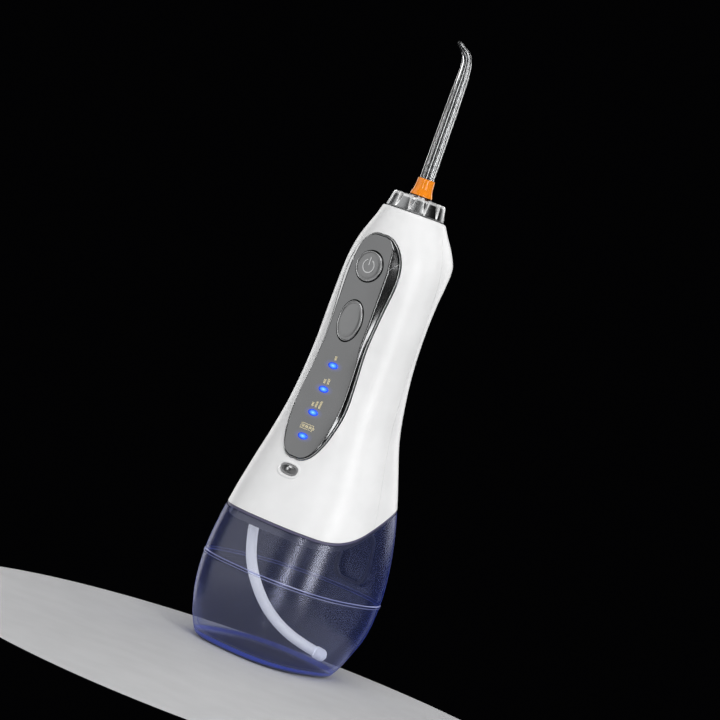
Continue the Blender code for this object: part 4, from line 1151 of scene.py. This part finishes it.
def make_tank():
    levels = [0.0, 0.25, 0.7, 1.4] + rows(2.2, TANK_SEAM - SEAM_GAP)[:-1]
    rings = [outline_at(z, max(0.0, 0.7 - z) * 1.2) for z in levels]
    rings += [outline_at(TANK_SEAM - off, inset) for off, inset in BEAD]
    rings += [outline_at(z, WALL) for z in reversed(rows(TANK_FLOOR + 2.5, TANK_SEAM - SEAM_GAP))]
    rings += [outline_at(TANK_FLOOR + 0.8, WALL + 0.9), outline_at(TANK_FLOOR, WALL + 2.6)]
    lower = loft("tank_lower_fine", rings, finish("tank_blue"), smooth_angle=50)
    line_inside(lower)
    stand_in(lower, "tank", "tank_blue", "tank_lower")

    levels = rows(TANK_SEAM + SEAM_GAP, 92)
    rings = [outline_at(TANK_SEAM + off, inset) for off, inset in reversed(BEAD)]
    rings += [outline_at(z) for z in levels[1:]]
    rings += [outline_at(z, WALL) for z in reversed(levels)]
    upper = loft("tank_upper_fine", rings, finish("tank_blue"), looped=True)
    over = parting_prism("cut_over", parting_line(-1.6) + [(CLEAR, ABOVE), (-CLEAR, ABOVE)])
    boolean(upper, [over, door_shape("cut_door", 0.0)])
    ears = [("ear_left", -10.2, -8.0), ("ear_right", 8.0, 10.2)]
    boolean(upper, [rounded_bar(*ear, 5.5) for ear in ears], "UNION")
    boolean(upper, [pin_bar("cut_ears", 1.05, 12.0)])
    sharpen(upper, 32)
    line_inside(upper)
    stand_in(upper, "tank", "tank_blue", "tank_upper")


HINGE_Y = 48.2
HINGE_Z = 72.5


def door_shape(name, grow, material=None):
    """The filling door's outline with round corners, deep enough to pass through the rear wall."""
    half, low, high, corner = 10.5 + grow, 41.5 - grow, 68.5 + grow, 5.0
    outline = []
    for cx, cz, first in (
        (half - corner, high - corner, 0), (corner - half, high - corner, 90),
        (corner - half, low + corner, 180), (half - corner, low + corner, 270),
    ):
        for k in range(13):
            turn = math.radians(first + 90 * k / 12)
            outline.append((cx + corner * math.cos(turn), cz + corner * math.sin(turn)))
    return prism(name, outline, "Y", 30, CLEAR, material)


def rounded_bar(name, x0, x1, reach):
    """A lug along X with a round outer side, reaching inwards from the hinge line."""
    radius = 1.5
    turns = [math.radians(a) for a in range(-90, 91, 15)]
    outline = [(HINGE_Y + radius * math.cos(turn), HINGE_Z + radius * math.sin(turn)) for turn in turns]
    outline += [(HINGE_Y - reach, HINGE_Z + radius), (HINGE_Y - reach, HINGE_Z - radius)]
    return prism(name, outline, "X", x0, x1)


def pin_bar(name, radius, half, material=None):
    outline = [(HINGE_Y + radius * c, HINGE_Z + radius * s) for c, s in directions(32)]
    return prism(name, outline, "X", -half, half, material)


def make_door():
    door = door_shape("fill_door_fine", 2.0, finish("tank_blue"))
    boolean(door, [wall_body("keep_door", 34, 76, -1.6, -0.3)], "INTERSECT")
    half, reach = 7.6, 1.45
    knuckle = rounded_bar("knuckle", -half, half, reach)
    strap = block("strap", (-half, HINGE_Y - reach, HINGE_Z - 4.0), (half, HINGE_Y + 1.0, HINGE_Z - 0.4))
    boolean(door, [knuckle, strap], "UNION")
    boolean(door, [pin_bar("cut_knuckle", 1.05, 12.0)])
    sharpen(door, 35)
    line_inside(door)
    stand_in(door, "fill_door", "tank_blue", "fill_door")
    pin = pin_bar("door_hinge_pin_fine", 0.88, 10.6, finish("steel"))
    stand_in(pin, "tank", "steel", "door_hinge_pin")


def bulb(share):
    """The strainer's radius along its length: a short neck, a barrel and a round end."""
    if share < 0.12:
        return 2.55 + 0.45 * math.sin(share / 0.12 * math.pi / 2)
    if share > 0.6:
        return 3.0 * math.sqrt(max(0.02, 1 - ((share - 0.6) / 0.4) ** 2))
    return 3.0


def make_hose():
    points = smooth_route(HOSE_ROUTE, 5)
    hose = tube("suction_hose_fine", points, HOSE_R, finish("hose_white"), 32)
    stand_in(hose, "handle", "hose_white", "suction_hose")
    strainer = tube("strainer_fine", smooth_route(STRAINER_ROUTE, 8), bulb, finish("hose_white"), 32)
    stand_in(strainer, "handle", "hose_white", "strainer")


# ---- CAD nodes that keep their shape


def dress_cad_nodes():
    """Every CAD node that stays visible gets the finish of its slot."""
    for row in frame["record"]["subparts"]:
        node = frame["nodes"][row["node"]]
        node.data.materials.clear()
        node.data.materials.append(finish(row["material_slot"]))


make_camera()
make_hose()
make_stage()
dress_cad_nodes()
make_shells()
make_panel()
make_buttons()
make_lamps()
make_port()
make_dial()
make_tip()
make_tip_release()
make_gasket()
make_tank()
make_door()
